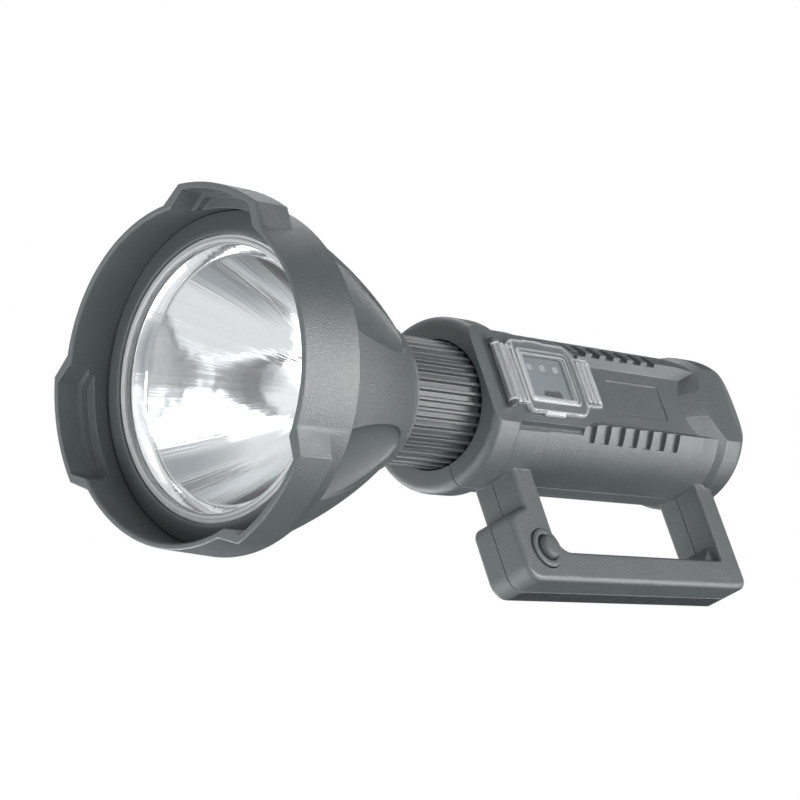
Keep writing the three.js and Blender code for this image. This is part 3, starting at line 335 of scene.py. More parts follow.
def extruded(bm, shift, edge=0.0):
    """A drawn face given its thickness, with the edges of both ends rounded."""
    made = bmesh.ops.extrude_face_region(bm, geom=bm.faces[:])
    moved = [v for v in made["geom"] if isinstance(v, bmesh.types.BMVert)]
    bmesh.ops.translate(bm, verts=moved, vec=shift)
    bmesh.ops.recalc_face_normals(bm, faces=bm.faces)
    if edge:
        along = Vector(shift).normalized()
        ends = {f for f in bm.faces if abs(f.normal.dot(along)) > 0.999}
        rims = [e for e in bm.edges if len(ends.intersection(e.link_faces)) == 1]
        rolled(bm, rims, edge)
    return bm


def slab(outline, x0, x1, edge=0.0, segments=4):
    """An outline in (station, height), as thick as from x0 to x1."""
    face = drawn(outline, lambda station, height: (x0, station, height), segments)
    return extruded(face, (x1 - x0, 0, 0), edge)


def ring_slab(outline, y0, y1, edge=0.0, segments=4):
    """An outline in (across, height), as long as from station y0 to y1."""
    face = drawn(outline, lambda across, height: (across, y0, height), segments)
    return extruded(face, (0, y1 - y0, 0), edge)


def block(x0, x1, y0, y1, z0, z1, edge=0.0):
    """A box between two places along each axis, with all its edges rounded if asked."""
    bm = bmesh.new()
    bmesh.ops.create_cube(bm, size=1)
    bmesh.ops.scale(bm, verts=bm.verts, vec=(x1 - x0, y1 - y0, z1 - z0))
    bmesh.ops.translate(bm, verts=bm.verts, vec=((x0 + x1) / 2, (y0 + y1) / 2, (z0 + z1) / 2))
    if edge:
        rolled(bm, bm.edges[:], edge)
    return bm


def raw_object(name, bm):
    """A drawing turned into an object of the scene, and used up."""
    mesh = bpy.data.meshes.new(name)
    bm.to_mesh(mesh)
    bm.free()
    thing = bpy.data.objects.new(name, mesh)
    bpy.context.collection.objects.link(thing)
    return thing


def carved(base, *steps):
    """A solid with others joined to it or cut from it, in order. The tools are used up."""
    body = raw_object("body", base)
    tools = []
    for operation, tool in steps:
        part = raw_object("tool", tool)
        tools.append(part)
        join = body.modifiers.new("join", "BOOLEAN")
        join.operation = operation
        join.solver = "MANIFOLD"
        join.object = part
    graph = bpy.context.evaluated_depsgraph_get()
    result = bmesh.new()
    result.from_mesh(body.evaluated_get(graph).to_mesh())
    for part in [body, *tools]:
        mesh = part.data
        bpy.data.objects.remove(part)
        bpy.data.meshes.remove(mesh)
    bmesh.ops.remove_doubles(result, verts=result.verts, dist=2e-3)
    bmesh.ops.dissolve_degenerate(result, edges=result.edges, dist=1e-3)
    return result


def piece(name, bm, material, body="root", node=None, sharp=32):
    """A finished piece: its drawing in millimetres on the beam axis goes to its place in metres."""
    place = Matrix.Translation((0, -BASE_MIDDLE / 1000, AXIS_HEIGHT / 1000))
    stand = place @ Matrix.Scale(0.001, 4)
    bmesh.ops.transform(bm, matrix=stand, verts=bm.verts)
    for face in bm.faces:
        face.smooth = True
    thing = raw_object(name, bm)
    thing.data.set_sharp_from_angle(angle=math.radians(sharp))
    thing.data.materials.append(material)
    even = thing.modifiers.new("even", "WEIGHTED_NORMAL")
    even.keep_sharp = True
    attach(thing, body)
    if node:
        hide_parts(node)
    return thing


def lobed(outer, inner, flat, foot):
    """The crown's outline: three lugs on a ring, counted from the handle side to the deck side."""
    corners = []
    for clock in LUG_CLOCKS:
        for i in range(LUG_STOPS + 1):
            corners.append((outer, clock + flat * (2 * i / LUG_STOPS - 1)))
        valley = 360 / len(LUG_CLOCKS) - 2 * foot
        for i in range(VALLEY_STOPS + 1):
            corners.append((inner, clock + foot + valley * i / VALLEY_STOPS))
    turns = [(radius, math.radians(clock)) for radius, clock in corners]
    return [(radius * math.sin(a), -radius * math.cos(a)) for radius, a in turns]


def crown_bore(station):
    """The crown's inside radius, which opens to the rear as its outside does."""
    opening = CROWN_REAR_RADIUS - CROWN_FRONT_RADIUS
    return CROWN_FRONT_RADIUS - CROWN_WALL + opening * station / CROWN_LENGTH


def pocket(wall, depth):
    """The hollow of the lugs, with the given wall left round it."""
    turn_wall = math.degrees(wall / LUG_RADIUS)
    outline = lobed(
        LUG_RADIUS - wall, crown_bore(0) - CROWN_WALL, LUG_FLAT - turn_wall, LUG_FOOT - turn_wall)
    return ring_slab(outline, -OVERRUN, depth)


crown_band = turned([
    (0, 0),
    (CROWN_FRONT_RADIUS, 0, CROWN_EDGE),
    (CROWN_REAR_RADIUS, CROWN_LENGTH, CROWN_EDGE),
    (0, CROWN_LENGTH),
])
crown_lugs = ring_slab(
    lobed(LUG_RADIUS, CROWN_FRONT_RADIUS - CROWN_WALL / 2, LUG_FLAT, LUG_FOOT),
    0, LUG_LENGTH, CROWN_EDGE)
crown_hole = turned([
    (0, -OVERRUN),
    (crown_bore(0) + CROWN_EDGE, -OVERRUN),
    (crown_bore(0) + CROWN_EDGE, 0, CROWN_EDGE / 2),
    (crown_bore(CROWN_EDGE), CROWN_EDGE, CROWN_EDGE / 2),
    (crown_bore(CROWN_LENGTH), CROWN_LENGTH),
    (crown_bore(CROWN_LENGTH), CROWN_LENGTH + OVERRUN),
    (0, CROWN_LENGTH + OVERRUN),
])
pocket_depth = LUG_LENGTH - LUG_FLOOR
crown = carved(
    crown_band,
    ("UNION", crown_lugs),
    ("DIFFERENCE", crown_hole),
    ("DIFFERENCE", pocket(CROWN_WALL, pocket_depth - POCKET_RISE)),
    ("DIFFERENCE", pocket(CROWN_WALL + POCKET_STEP, pocket_depth)),
)
piece("crown", crown, shell_abs, node="crown_bezel")

# Retaining ring
# A dark ABS ring that is pressed into the crown and holds the lens. Its face is smooth, and it
# falls a little towards the window.
RING_STATION = 15.8
RING_RISE = 2.0
RING_LIP = 1.3
RING_FLANGE = 1.2
RING_NOSE = 1.4
WINDOW_RADIUS = 40.6
LENS_LAP = 1.8
FIT = 0.3
SKIRT_WALL = 1.7
LENS_THICKNESS = 2.5
GASKET_THICKNESS = 1.2

ring_front = RING_STATION - RING_RISE
lip_rear = ring_front + RING_LIP
lens_radius = WINDOW_RADIUS + LENS_LAP
lens_front = lip_rear + FIT
lens_rear = lens_front + LENS_THICKNESS
gasket_front = lens_rear + FIT
gasket_rear = gasket_front + GASKET_THICKNESS
skirt_bore = lens_radius + FIT
skirt_radius = skirt_bore + SKIRT_WALL
ring_radius = crown_bore(RING_STATION) - FIT
# ABS from a ground mould: as dark as the crown, but without its grain, so its sheen is even.
smooth_abs = moulded("smooth_abs", relief=0.05, rough=0.4, grain=0.4)
ring = turned([
    (WINDOW_RADIUS, ring_front, 0.3),
    (WINDOW_RADIUS + RING_NOSE, ring_front),
    (ring_radius, RING_STATION, 0.2),
    (ring_radius, RING_STATION + RING_FLANGE),
    (skirt_radius, RING_STATION + RING_FLANGE),
    (skirt_radius, gasket_rear),
    (skirt_bore, gasket_rear),
    (skirt_bore, lip_rear),
    (WINDOW_RADIUS, lip_rear, 0.2),
])
piece("front_ring", ring, smooth_abs, node="retaining_ring")

# Lens
# A flat disc of clear polycarbonate with a stepped rim. The rim's polished steps catch the light
# as thin bright rings round the bowl.
LENS_STEP = 1.0
LENS_BEAD = 38.3
LENS_BEAD_RISE = 0.55
LENS_BEAD_TOP = 0.8
LENS_BEAD_FLANK = 0.4
LENS_WAVES_PER_METRE = 120.0
LENS_FROST_RUN = 0.0006
LENS_CLEAR = "fbfcfd"
LENS_FROST = "eef1f2"
LENS_ROUGH = (0.02, 0.35)
LENS_THROUGH = (1.0, 0.45)
POLYCARBONATE_IOR = 1.585


def round_beam(tree):
    """Where a point lies round the beam axis, as a place in the plane across it."""
    place = add(tree, "ShaderNodeTexCoord")
    centred = add(tree, "ShaderNodeMapping", {
        "Vector": place.outputs["Object"], "Location": (0, 0, -AXIS_HEIGHT / 1000),
        "Scale": (1, 0, 1)})
    return centred.outputs["Vector"]


def polished_polycarbonate():
    """Clear polycarbonate from a polished mould, with a moulded sheet's faint waviness. Past the
    bead the rim is left frosted: it scatters the light and shows as a pale band round the bowl."""
    material = blank("polished_polycarbonate")
    tree = material.node_tree
    place = add(tree, "ShaderNodeTexCoord")
    wave = add(tree, "ShaderNodeTexNoise", {
        "Vector": place.outputs["Object"], "Scale": LENS_WAVES_PER_METRE, "Detail": 1.0})
    ripple = add(tree, "ShaderNodeBump", {
        "Height": wave.outputs["Fac"], "Strength": 0.06, "Distance": 0.001})
    radius = add(tree, "ShaderNodeVectorMath", {0: round_beam(tree)}, operation="LENGTH")
    bead = LENS_BEAD / 1000
    frost = ranged(tree, radius.outputs["Value"], (bead - LENS_FROST_RUN, bead))
    clear = add(tree, "ShaderNodeBsdfPrincipled", {
        "Base Color": blend(tree, frost, colour(LENS_CLEAR), colour(LENS_FROST)),
        "Roughness": ranged(tree, frost, given=LENS_ROUGH), "IOR": POLYCARBONATE_IOR,
        "Transmission Weight": ranged(tree, frost, given=LENS_THROUGH),
        "Normal": ripple.outputs["Normal"]})
    add(tree, "ShaderNodeOutputMaterial", {"Surface": clear.outputs["BSDF"]})
    return material


lens_face = lens_front - LENS_STEP
lens = turned([
    (0, lens_face),
    (LENS_BEAD - LENS_BEAD_FLANK, lens_face, 0.2),
    (LENS_BEAD, lens_face - LENS_BEAD_RISE, 0.3),
    (LENS_BEAD + LENS_BEAD_TOP, lens_face - LENS_BEAD_RISE, 0.3),
    (LENS_BEAD + LENS_BEAD_TOP + LENS_BEAD_FLANK, lens_face, 0.2),
    (WINDOW_RADIUS - FIT, lens_face, 0.3),
    (WINDOW_RADIUS - FIT, lens_front),
    (lens_radius, lens_front),
    (lens_radius, lens_rear),
    (0, lens_rear),
])
piece("front_lens", lens, polished_polycarbonate(), node="lens")

# Lens gasket
# A flat ring of moulded silicone between the lens and the bowl. It is pale and satin, so it shows
# through the frosted rim as part of the bright band.


def finish_node(name, material):
    """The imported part's own node is kept as the piece, and gets its material."""
    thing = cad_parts[name]
    thing.data.materials.clear()
    thing.data.materials.append(material)


# Compression-moulded silicone: pale grey and slightly cloudy, with a soft even sheen.
silicone = moulded("moulded_silicone", base="d3d6d7", shade="c8ccce", relief=0.04, rough=0.35,
                   edge_highlight_tone="dfe2e3")
finish_node("lens_gasket", silicone)

# Reflector
# The bowl: moulded plastic with a vacuum-deposited mirror coat, a paraboloid with a rim that lies
# against the gasket.
REFLECTOR_WALL = 1.2
BOWL_RIM = 35.6
BOWL_RIM_WIDTH = 2.4
BOWL_RIM_DROP = 2.2
BOWL_DEPTH = 42.0
BOWL_HOLE = 6.0
BOWL_STEPS = 40
MIRROR_TONE = "fbfcfd"
MIRROR_SHADE = "eceeef"
STROKES = 9.0


def vacuum_metallised():
    """A vacuum-metallised mirror coat on a moulded bowl: near-perfect reflection. The mould's
    polishing strokes run down the bowl and pull the reflections out into radial fans."""
    material = blank("vacuum_metallised")
    tree = material.node_tree
    clock = add(tree, "ShaderNodeVectorMath", {0: round_beam(tree)}, operation="NORMALIZE")
    stroke = add(tree, "ShaderNodeTexNoise", {
        "Vector": clock.outputs["Vector"], "Scale": STROKES, "Detail": 3.0, "Roughness": 0.65})
    ripple = add(tree, "ShaderNodeBump", {
        "Height": stroke.outputs["Fac"], "Strength": 0.14, "Distance": 0.001})
    coat = add(tree, "ShaderNodeBsdfPrincipled", {
        "Base Color": blend(
            tree, stroke.outputs["Fac"], colour(MIRROR_SHADE), colour(MIRROR_TONE)),
        "Metallic": 1.0, "Roughness": 0.07, "Normal": ripple.outputs["Normal"]})
    add(tree, "ShaderNodeOutputMaterial", {"Surface": coat.outputs["BSDF"]})
    return material


flange_front = gasket_rear + FIT
flange_rear = flange_front + REFLECTOR_WALL
bowl_rear = gasket_front + BOWL_DEPTH
bowl_inside = []
bowl_outside = []
for i in range(BOWL_STEPS + 1):
    radius = BOWL_HOLE + (BOWL_RIM - BOWL_HOLE) * i / BOWL_STEPS
    share = (radius ** 2 - BOWL_HOLE ** 2) / (BOWL_RIM ** 2 - BOWL_HOLE ** 2)
    station = bowl_rear - (BOWL_DEPTH - BOWL_RIM_DROP) * share
    bowl_inside.append((radius, station))
    if station > flange_rear + REFLECTOR_WALL:
        bowl_outside.append((radius + REFLECTOR_WALL, station))
rim_radius = BOWL_RIM + BOWL_RIM_WIDTH
bowl = turned([
    *bowl_inside,
    (rim_radius, gasket_front, 0.3),
    (rim_radius, flange_front),
    (skirt_radius - FIT, flange_front),
    (skirt_radius - FIT, flange_rear),
    (rim_radius, flange_rear),
    *reversed(bowl_outside),
])
piece("bowl", bowl, vacuum_metallised(), node="reflector", sharp=40)

# Light engine
# One power LED on an aluminium-cored board, on a cast heat sink that carries the bowl. Its
# phosphor is the yellow spot in the bowl's middle; the board is masked white.
LINE_SPREAD = 0.06


def worked_metal(name, base, shade, rough, spacing, along):
    """Bare or plated metal with the fine lines that its tool left, spacing millimetres apart and
    counted along the given axis. The lines stretch the highlights across themselves."""
    material = blank(name)
    tree = material.node_tree
    place = add(tree, "ShaderNodeTexCoord")
    lines = add(tree, "ShaderNodeMapping", {"Vector": place.outputs["Object"], "Scale": along})
    mark = add(tree, "ShaderNodeTexNoise", {
        "Vector": lines.outputs["Vector"], "Scale": 1000 / spacing, "Detail": 2.0})
    polish = ranged(tree, mark.outputs["Fac"], given=(rough - LINE_SPREAD, rough + LINE_SPREAD))
    scored = add(tree, "ShaderNodeBump", {
        "Height": mark.outputs["Fac"], "Strength": 0.15, "Distance": spacing / 1000})
    skin = add(tree, "ShaderNodeBsdfPrincipled", {
        "Base Color": blend(tree, mark.outputs["Fac"], colour(shade), colour(base)),
        "Metallic": 1.0, "Roughness": polish, "Normal": scored.outputs["Normal"]})
    add(tree, "ShaderNodeOutputMaterial", {"Surface": skin.outputs["BSDF"]})
    return material


# Phosphor under cast silicone: a smooth yellow dome, a little cloudy where the powder settled.
phosphor = moulded("phosphor_silicone", base="e8d27a", shade="dcc56c", relief=0.02, rough=0.2,
                   edge_highlight_tone="ecdc98")
finish_node("led_emitter", phosphor)
# White solder mask on an aluminium core: silk-screened, with an even satin skin.
white_mask = moulded("white_solder_mask", base="dcdfe0", shade="d2d6d7", relief=0.03, rough=0.35,
                     edge_highlight_tone="c4c8ca")
finish_node("led_board", white_mask)
# Die-cast aluminium, bead-blasted: even, matt and a little grainy.
cast_aluminium = worked_metal("cast_aluminium", "b4b7b9", "a6aaac", 0.5, 0.4, (1, 1, 1))
finish_node("heat_sink", cast_aluminium)

# Head housing
# The fluted cone behind the crown: one ABS moulding that bulges a little and narrows to a beaded
# neck. Six scooped flutes run down it from the crown.
CONE_FRONT_RADIUS = 48.0
CONE_REAR_RADIUS = 23.6
CONE_REAR_STATION = 73.0
CONE_BULGE = 4.2
CONE_BEAD = 0.4
CONE_BEAD_LENGTH = 1.6
CONE_SEAT = 41.0
CONE_CAVITY_REAR = 18.2
CONE_STEPS = 36
SPIGOT_STATION = 17.3
SLEEVE_HOLE = 16.6
CONE_FLOOR_STATION = 66.0
FLUTES = 6
FLUTE_CLOCK = 33.5
FLUTE_HALF_WIDTH = 11.6
FLUTE_DEPTH = 3.4
FLUTE_END = 0.84
FLUTE_START = 1.2

cone_front = CROWN_LENGTH + FIT
start = Vector((CONE_FRONT_RADIUS, cone_front))
end = Vector((CONE_REAR_RADIUS, CONE_REAR_STATION - CONE_BEAD_LENGTH))
run = (end - start).normalized()
middle = (start + end) / 2 + CONE_BULGE * Vector((run.y, -run.x))


def cone_point(share):
    """A point of the cone's outside, as its radius and station. The share runs from the crown."""
    return (1 - share) ** 2 * start + 2 * share * (1 - share) * middle + share ** 2 * end


def flute(index):
    """Half an ellipsoid along the cone's outside, deepest at the crown and closed behind it."""
    reach = cone_point(FLUTE_END) - start
    bm = bmesh.new()
    bmesh.ops.create_uvsphere(bm, u_segments=64, v_segments=40, radius=1)
    bmesh.ops.rotate(bm, verts=bm.verts, matrix=Matrix.Rotation(math.pi / 2, 3, "X"))
    bmesh.ops.scale(bm, verts=bm.verts, vec=(FLUTE_HALF_WIDTH, reach.length, FLUTE_DEPTH))
    lean = Matrix.Rotation(math.atan2(reach.x, reach.y), 3, "X")
    bmesh.ops.rotate(bm, verts=bm.verts, matrix=lean)
    bmesh.ops.translate(bm, verts=bm.verts, vec=(0, start.y, start.x))
    guard_from = cone_front + FLUTE_START
    cut = bmesh.ops.bisect_plane(
        bm, geom=bm.verts[:] + bm.edges[:] + bm.faces[:], plane_co=(0, guard_from, 0),
        plane_no=(0, 1, 0), clear_inner=True)
    rim = [e for e in cut["geom_cut"] if isinstance(e, bmesh.types.BMEdge)]
    bmesh.ops.edgeloop_fill(bm, edges=rim)
    bmesh.ops.recalc_face_normals(bm, faces=bm.faces)
    clock = FLUTE_CLOCK + index * 360 / FLUTES
    bmesh.ops.rotate(bm, verts=bm.verts, matrix=Matrix.Rotation(math.radians(180 - clock), 3, "Y"))
    return bm


cone_outside = [tuple(cone_point(i / CONE_STEPS)) for i in range(CONE_STEPS + 1)]
cone = turned([
    (skirt_radius + FIT, SPIGOT_STATION),
    (crown_bore(SPIGOT_STATION) - FIT, SPIGOT_STATION),
    (crown_bore(SPIGOT_STATION) - FIT, cone_front),
    *cone_outside,
    (CONE_REAR_RADIUS + CONE_BEAD, CONE_REAR_STATION - CONE_BEAD_LENGTH + CONE_BEAD, 0.2),
    (CONE_REAR_RADIUS + CONE_BEAD, CONE_REAR_STATION - CONE_BEAD, 0.3),
    (CONE_REAR_RADIUS, CONE_REAR_STATION, 0.2),
    (SLEEVE_HOLE, CONE_REAR_STATION),
    (SLEEVE_HOLE, CONE_FLOOR_STATION),
    (CONE_CAVITY_REAR, CONE_FLOOR_STATION),
    (CONE_SEAT, flange_rear + FIT),
    (skirt_radius + FIT, flange_rear + FIT),
])
# The same ABS from a coarser eroded mould: paler and more matt than the crown, with broader crests.
cone_abs = moulded("coarse_grained_abs", base="6a7072", shade="5d6365", relief=0.7, rough=0.42,
                   edge=0.5)
fluted = carved(cone, *[("DIFFERENCE", flute(i)) for i in range(FLUTES)])
piece("cone", fluted, cone_abs, node="head_housing")

# Ribbed collar
# The coupling collar that turns on the neck sleeve: moulded ABS with forty ribs along it for the
# fingers, and a small lead at both ends.
COLLAR_FRONT = 73.3
COLLAR_REAR = 109.7
COLLAR_ROOT = 18.6
COLLAR_RIB = 19.9
COLLAR_RIBS = 40
RIB_FOOT = 0.24
RIB_TIP = 0.13
COLLAR_LEAD = 0.7

rib_pitch = 2 * math.pi / COLLAR_RIBS
rib_corners = (
    (COLLAR_ROOT, -RIB_FOOT),
    (COLLAR_RIB, -RIB_TIP),
    (COLLAR_RIB, RIB_TIP),
    (COLLAR_ROOT, RIB_FOOT),
)
rib_outline = []
for rib in range(COLLAR_RIBS):
    for radius, offset in rib_corners:
        angle = (rib + offset) * rib_pitch
        rib_outline.append((radius * math.sin(angle), -radius * math.cos(angle)))
# ABS from a plain mould, handled matt: darker than the body, so the ribs read as fine pale lines.
collar_abs = moulded("matt_moulded_abs", base="4c5254", shade="45494c", relief=0.05, rough=0.5,
                     grain=0.4)
ribs = ring_slab(rib_outline, COLLAR_FRONT, COLLAR_REAR)
lead = turned([
    (SLEEVE_HOLE, COLLAR_FRONT),
    (COLLAR_ROOT, COLLAR_FRONT),
    (COLLAR_RIB + COLLAR_LEAD, COLLAR_FRONT + 2 * COLLAR_LEAD),
    (COLLAR_RIB + COLLAR_LEAD, COLLAR_REAR - 2 * COLLAR_LEAD),
    (COLLAR_ROOT, COLLAR_REAR),
    (SLEEVE_HOLE, COLLAR_REAR),
])
piece("collar", carved(ribs, ("INTERSECT", lead)), collar_abs, body="collar", node="ribbed_collar")

# Neck sleeve
# The turned aluminium tube through the collar, which joins the head to the body. The lathe left
# fine rings round it.
turned_aluminium = worked_metal("turned_aluminium", "bfc2c4", "b2b6b8", 0.32, 0.2, (0, 1, 0))
finish_node("neck_sleeve", turned_aluminium)

# Body shells
# Two ABS halves that meet in the handle's plane: a round barrel with a front ring, a flared tail,
# a flat deck for the lid, and a D handle. Five screws from the left close them.
OUTSIDE = 60
BEFORE_BODY = 90
BEHIND_BODY = 260
BODY_FRONT = 105.0
RING_OUT = 27.5
RING_REAR = 116.7
RING_ROUND = 3.0
RING_STEP = 0.9
BARREL = 25.3
BARREL_WALL = 3.6
RIDGE = 0.35
CAVITY_FRONT = 113.0
CAVITY_REAR = 231.0
RECESS_GAP = 0.4
RECESS_FLOOR = 110.0
WAIST_STATION = 214.0
WAIST_RUN = 8.0
WAIST_DROP = 0.9
WAIST_REACH = 40
TAIL = 26.4
TAIL_FLARE_START = 208.0
TAIL_FLARE_END = 228.0
TAIL_FLARE_RISE = 11.7
TAIL_END = 240.5
TAIL_ROUND = 5.0
TAIL_FLAT = 22.5
TAIL_FLAT_FRONT = 190
PLATFORM = 22.2
PLATFORM_HALF = 15.2
PLATFORM_REAR = 156.0
PLATFORM_CORNER_RUN = 7.0
PLATFORM_CORNER_RISE = 3.3
PLATFORM_WALL = 2.6
SHELF = 19.2
SHELF_REAR = 160.5
POCKET_FRONT = 150.5
POCKET_HALF = 13.2
PANEL_OPENING = (16, 40, 124.6, 146.0, -8.0, 8.0)
CHANNEL = 18.1
CHANNEL_HALF = 10.4
CHANNEL_FLARE = 3.4
CHANNEL_REAR = 237.0
CHANNEL_WALL = 2.7
NOTCHES = 7
NOTCH_PITCH = 7.55
NOTCH_WIDTH = 4.2
NOTCH_FIRST = 154.6
NOTCH_FLOOR = 23.8
NOTCH_HALF = 4.1
NOTCH_TILT = 36
NOTCH_REACH = 10
LABEL_FRONT = 174.8
LABEL_REAR = 203.7
LABEL_HALF = 6.3
LABEL_DEPTH = 0.4
LABEL_CORNER = 1.0
HANDLE_HALF = 8.2
HANDLE_EDGE = 1.9
HANDLE_FAR_EDGE = 1.4
OPENING_EDGE = 1.0
HANDLE_ROOT = 15.0
POST_FRONT = 123.2
OPENING_FRONT = 133.2
FOOT_FRONT = 115.2
FOOT_TOP = 39.6
FOOT_SHOULDER = 37.0
FOOT_TOP_ROUND = 2.6
FOOT_BOTTOM_ROUND = 5.6
BAR_TOP = -51.8
REAR_POST_FRONT = 221.6
REAR_POST_REAR = 231.8
REAR_BOTTOM_ROUND = 4.2
OPENING_ROUND = 7.0
OPENING_REAR_ROUND = 2.0
WEB_LEG = 6.5
WEB_HALF = 5.0
WEB_ROOT = 4
KEEL = 24.2
SEAM_RIGHT = -0.42
SEAM_LEFT = -0.82
TONGUE_INSET = 0.8
TONGUE = 0.38
HINGE_STATION = 113.3
HINGE_HEIGHT = 23.95
KNUCKLE = 1.45
HINGE_HALF = 9.78
HINGE_LUG = 1.5
PIN_HOLE = 0.9
PIN_REACH = 20
BUTTON_STATION = 127.3
BUTTON_DEPTH = 51.1
BUTTON_RADIUS = 4.0
BUTTON_RING_RADIUS = 6.4
BUTTON_SEAT = 1.8
BUTTON_WALL = 4.3
BUTTON_REACH = 20
BUTTON_BORE_FLOOR = 0.9
WELL_RADIUS = 5.3
WELL_FLOOR = 0.7
SWITCH_BAY_FLOOR = -6.2
SWITCH_BAY_HALF = 4.9
SWITCH_BAY_BELOW = 7.6
SWITCH_BAY_ABOVE = 5.1
LEAD_WAY_HALF = 1
LEAD_WAY_FRONT = 2.6
LEAD_WAY_REAR = 0.6
SCREW_HOLE = 1.7
SCREW_HOLE_END = 6.3
SCREW_SEAT_RADIUS = 3.0
SCREW_SEAT = 5.0
SCREWS = ((128.8, -33.0), (150.0, -56.85), (225.6, -56.85), (109.6, 23.4), (235.3, 19.0))


def bar(radius, length, steps):
    """A round bar standing upright on its own middle."""
    bm = bmesh.new()
    bmesh.ops.create_cone(bm, cap_ends=True, segments=steps, radius1=radius, radius2=radius,
                          depth=length)
    return bm


def upright_bar(radius, z0, z1):
    """A round bar on the hinge's axis, from one height to another."""
    bm = bar(radius, z1 - z0, 32)
    bmesh.ops.translate(bm, verts=bm.verts, vec=(HINGE_HEIGHT, HINGE_STATION, (z0 + z1) / 2))
    return bm


def cross_bar(radius, x0, x1, station, height):
    """A round bar through the body from side to side."""
    bm = bar(radius, x1 - x0, 48)
    bmesh.ops.rotate(bm, verts=bm.verts, matrix=Matrix.Rotation(math.pi / 2, 3, "Y"))
    bmesh.ops.translate(bm, verts=bm.verts, vec=((x0 + x1) / 2, station, height))
    return bm


def outline_loop(bm, corners, x, segments):
    """One closed wire of an outline with rounded corners."""
    face_bm = drawn(corners, lambda station, height: (x, station, height), segments)
    loop = [v.co.copy() for v in face_bm.faces[:][0].verts]
    face_bm.free()
    verts = [bm.verts.new(co) for co in loop]
    return [bm.edges.new((verts[i], verts[(i + 1) % len(verts)])) for i in range(len(verts))]


def in_opening(point, slack=0.1):
    """Whether a point of the handle is on its finger opening and not on its outside."""
    along = OPENING_FRONT - slack < point.y < REAR_POST_FRONT + slack
    return along and point.z > BAR_TOP - slack


def handle():
    """The D handle as one closed bar with its finger opening, all its outer edges rounded."""
    bottom = -AXIS_HEIGHT
    outer = [
        (POST_FRONT, -HANDLE_ROOT),
        (POST_FRONT, -FOOT_SHOULDER, 0.5),
        (FOOT_FRONT, -FOOT_TOP, FOOT_TOP_ROUND),
        (FOOT_FRONT, bottom, FOOT_BOTTOM_ROUND),
        (REAR_POST_REAR, bottom, REAR_BOTTOM_ROUND),
        (REAR_POST_REAR, -HANDLE_ROOT),
    ]
    inner = [
        (OPENING_FRONT, -KEEL),
        (OPENING_FRONT, BAR_TOP, OPENING_ROUND),
        (REAR_POST_FRONT, BAR_TOP, OPENING_REAR_ROUND),
        (REAR_POST_FRONT, -KEEL),
    ]
    bm = bmesh.new()
    loops = outline_loop(bm, outer, -HANDLE_HALF, 8) + outline_loop(bm, inner, -HANDLE_HALF, 10)
    bmesh.ops.triangle_fill(bm, edges=loops, use_beauty=True, normal=(1, 0, 0))
    bmesh.ops.dissolve_limit(bm, angle_limit=0.01, verts=bm.verts, edges=bm.edges)
    extruded(bm, (2 * HANDLE_HALF, 0, 0))
    for side, edge in ((1, HANDLE_EDGE), (-1, HANDLE_FAR_EDGE)):
        for hole, width in ((False, edge), (True, OPENING_EDGE)):
            ends = {f for f in bm.faces if f.normal.x * side > 0.999}
            rims = [e for e in bm.edges if len(ends.intersection(e.link_faces)) == 1
                    and all(in_opening(v.co) for v in e.verts) == hole]
            rolled(bm, rims, width, 5)
    return bm


def web():
    """The rounded web in the opening's rear lower corner, narrower than the handle."""
    return slab([
        (REAR_POST_FRONT - WEB_LEG, BAR_TOP - WEB_ROOT),
        (REAR_POST_FRONT + WEB_ROOT, BAR_TOP - WEB_ROOT),
        (REAR_POST_FRONT + WEB_ROOT, BAR_TOP + WEB_LEG),
        (REAR_POST_FRONT, BAR_TOP + WEB_LEG, 1.0),
        (REAR_POST_FRONT - WEB_LEG, BAR_TOP, 1.0),
    ], -WEB_HALF, WEB_HALF, 1.0)


def notch(index, side):
    """One grip notch beside the deck, turned about the beam axis to its side of the barrel."""
    half_width = NOTCH_WIDTH / 2
    bm = block(
        NOTCH_FLOOR, NOTCH_FLOOR + NOTCH_REACH, -half_width, half_width, -NOTCH_HALF, NOTCH_HALF)
    bmesh.ops.translate(bm, verts=bm.verts, vec=(0, NOTCH_FIRST + index * NOTCH_PITCH, 0))
    tilt = Matrix.Rotation(side * math.radians(NOTCH_TILT), 3, "Y")
    bmesh.ops.rotate(bm, verts=bm.verts, matrix=tilt)
    return bm


def merged(*parts):
    """Separate solids as one tool."""
    whole = bmesh.new()
    for bm in parts:
        mesh = bpy.data.meshes.new("part")
        bm.to_mesh(mesh)
        bm.free()
        whole.from_mesh(mesh)
        bpy.data.meshes.remove(mesh)
    return whole


barrel = turned([
    (0, BODY_FRONT),
    (RING_OUT, BODY_FRONT, RING_ROUND),
    (RING_OUT, RING_REAR - 0.5, RING_STEP),
    (BARREL + RIDGE, RING_REAR + 0.7, RING_STEP),
    (BARREL + RIDGE, OPENING_FRONT, 0.2),
    (BARREL, OPENING_FRONT + RIDGE, 0.2),
    (BARREL, CAVITY_REAR),
    (0, CAVITY_REAR),
], segments=6)
waist_core = turned([
    (0, WAIST_STATION),
    (BARREL + WAIST_DROP, WAIST_STATION),
    (BARREL, WAIST_STATION + WAIST_RUN, 6.0),
    (BARREL, CAVITY_REAR + OVERRUN),
    (0, CAVITY_REAR + OVERRUN),
])
bmesh.ops.translate(waist_core, verts=waist_core.verts, vec=(-WAIST_DROP, 0, 0))
waist = carved(
    block(0, WAIST_REACH, WAIST_STATION, CAVITY_REAR + OVERRUN, -WAIST_REACH, WAIST_REACH),
    ("DIFFERENCE", waist_core))
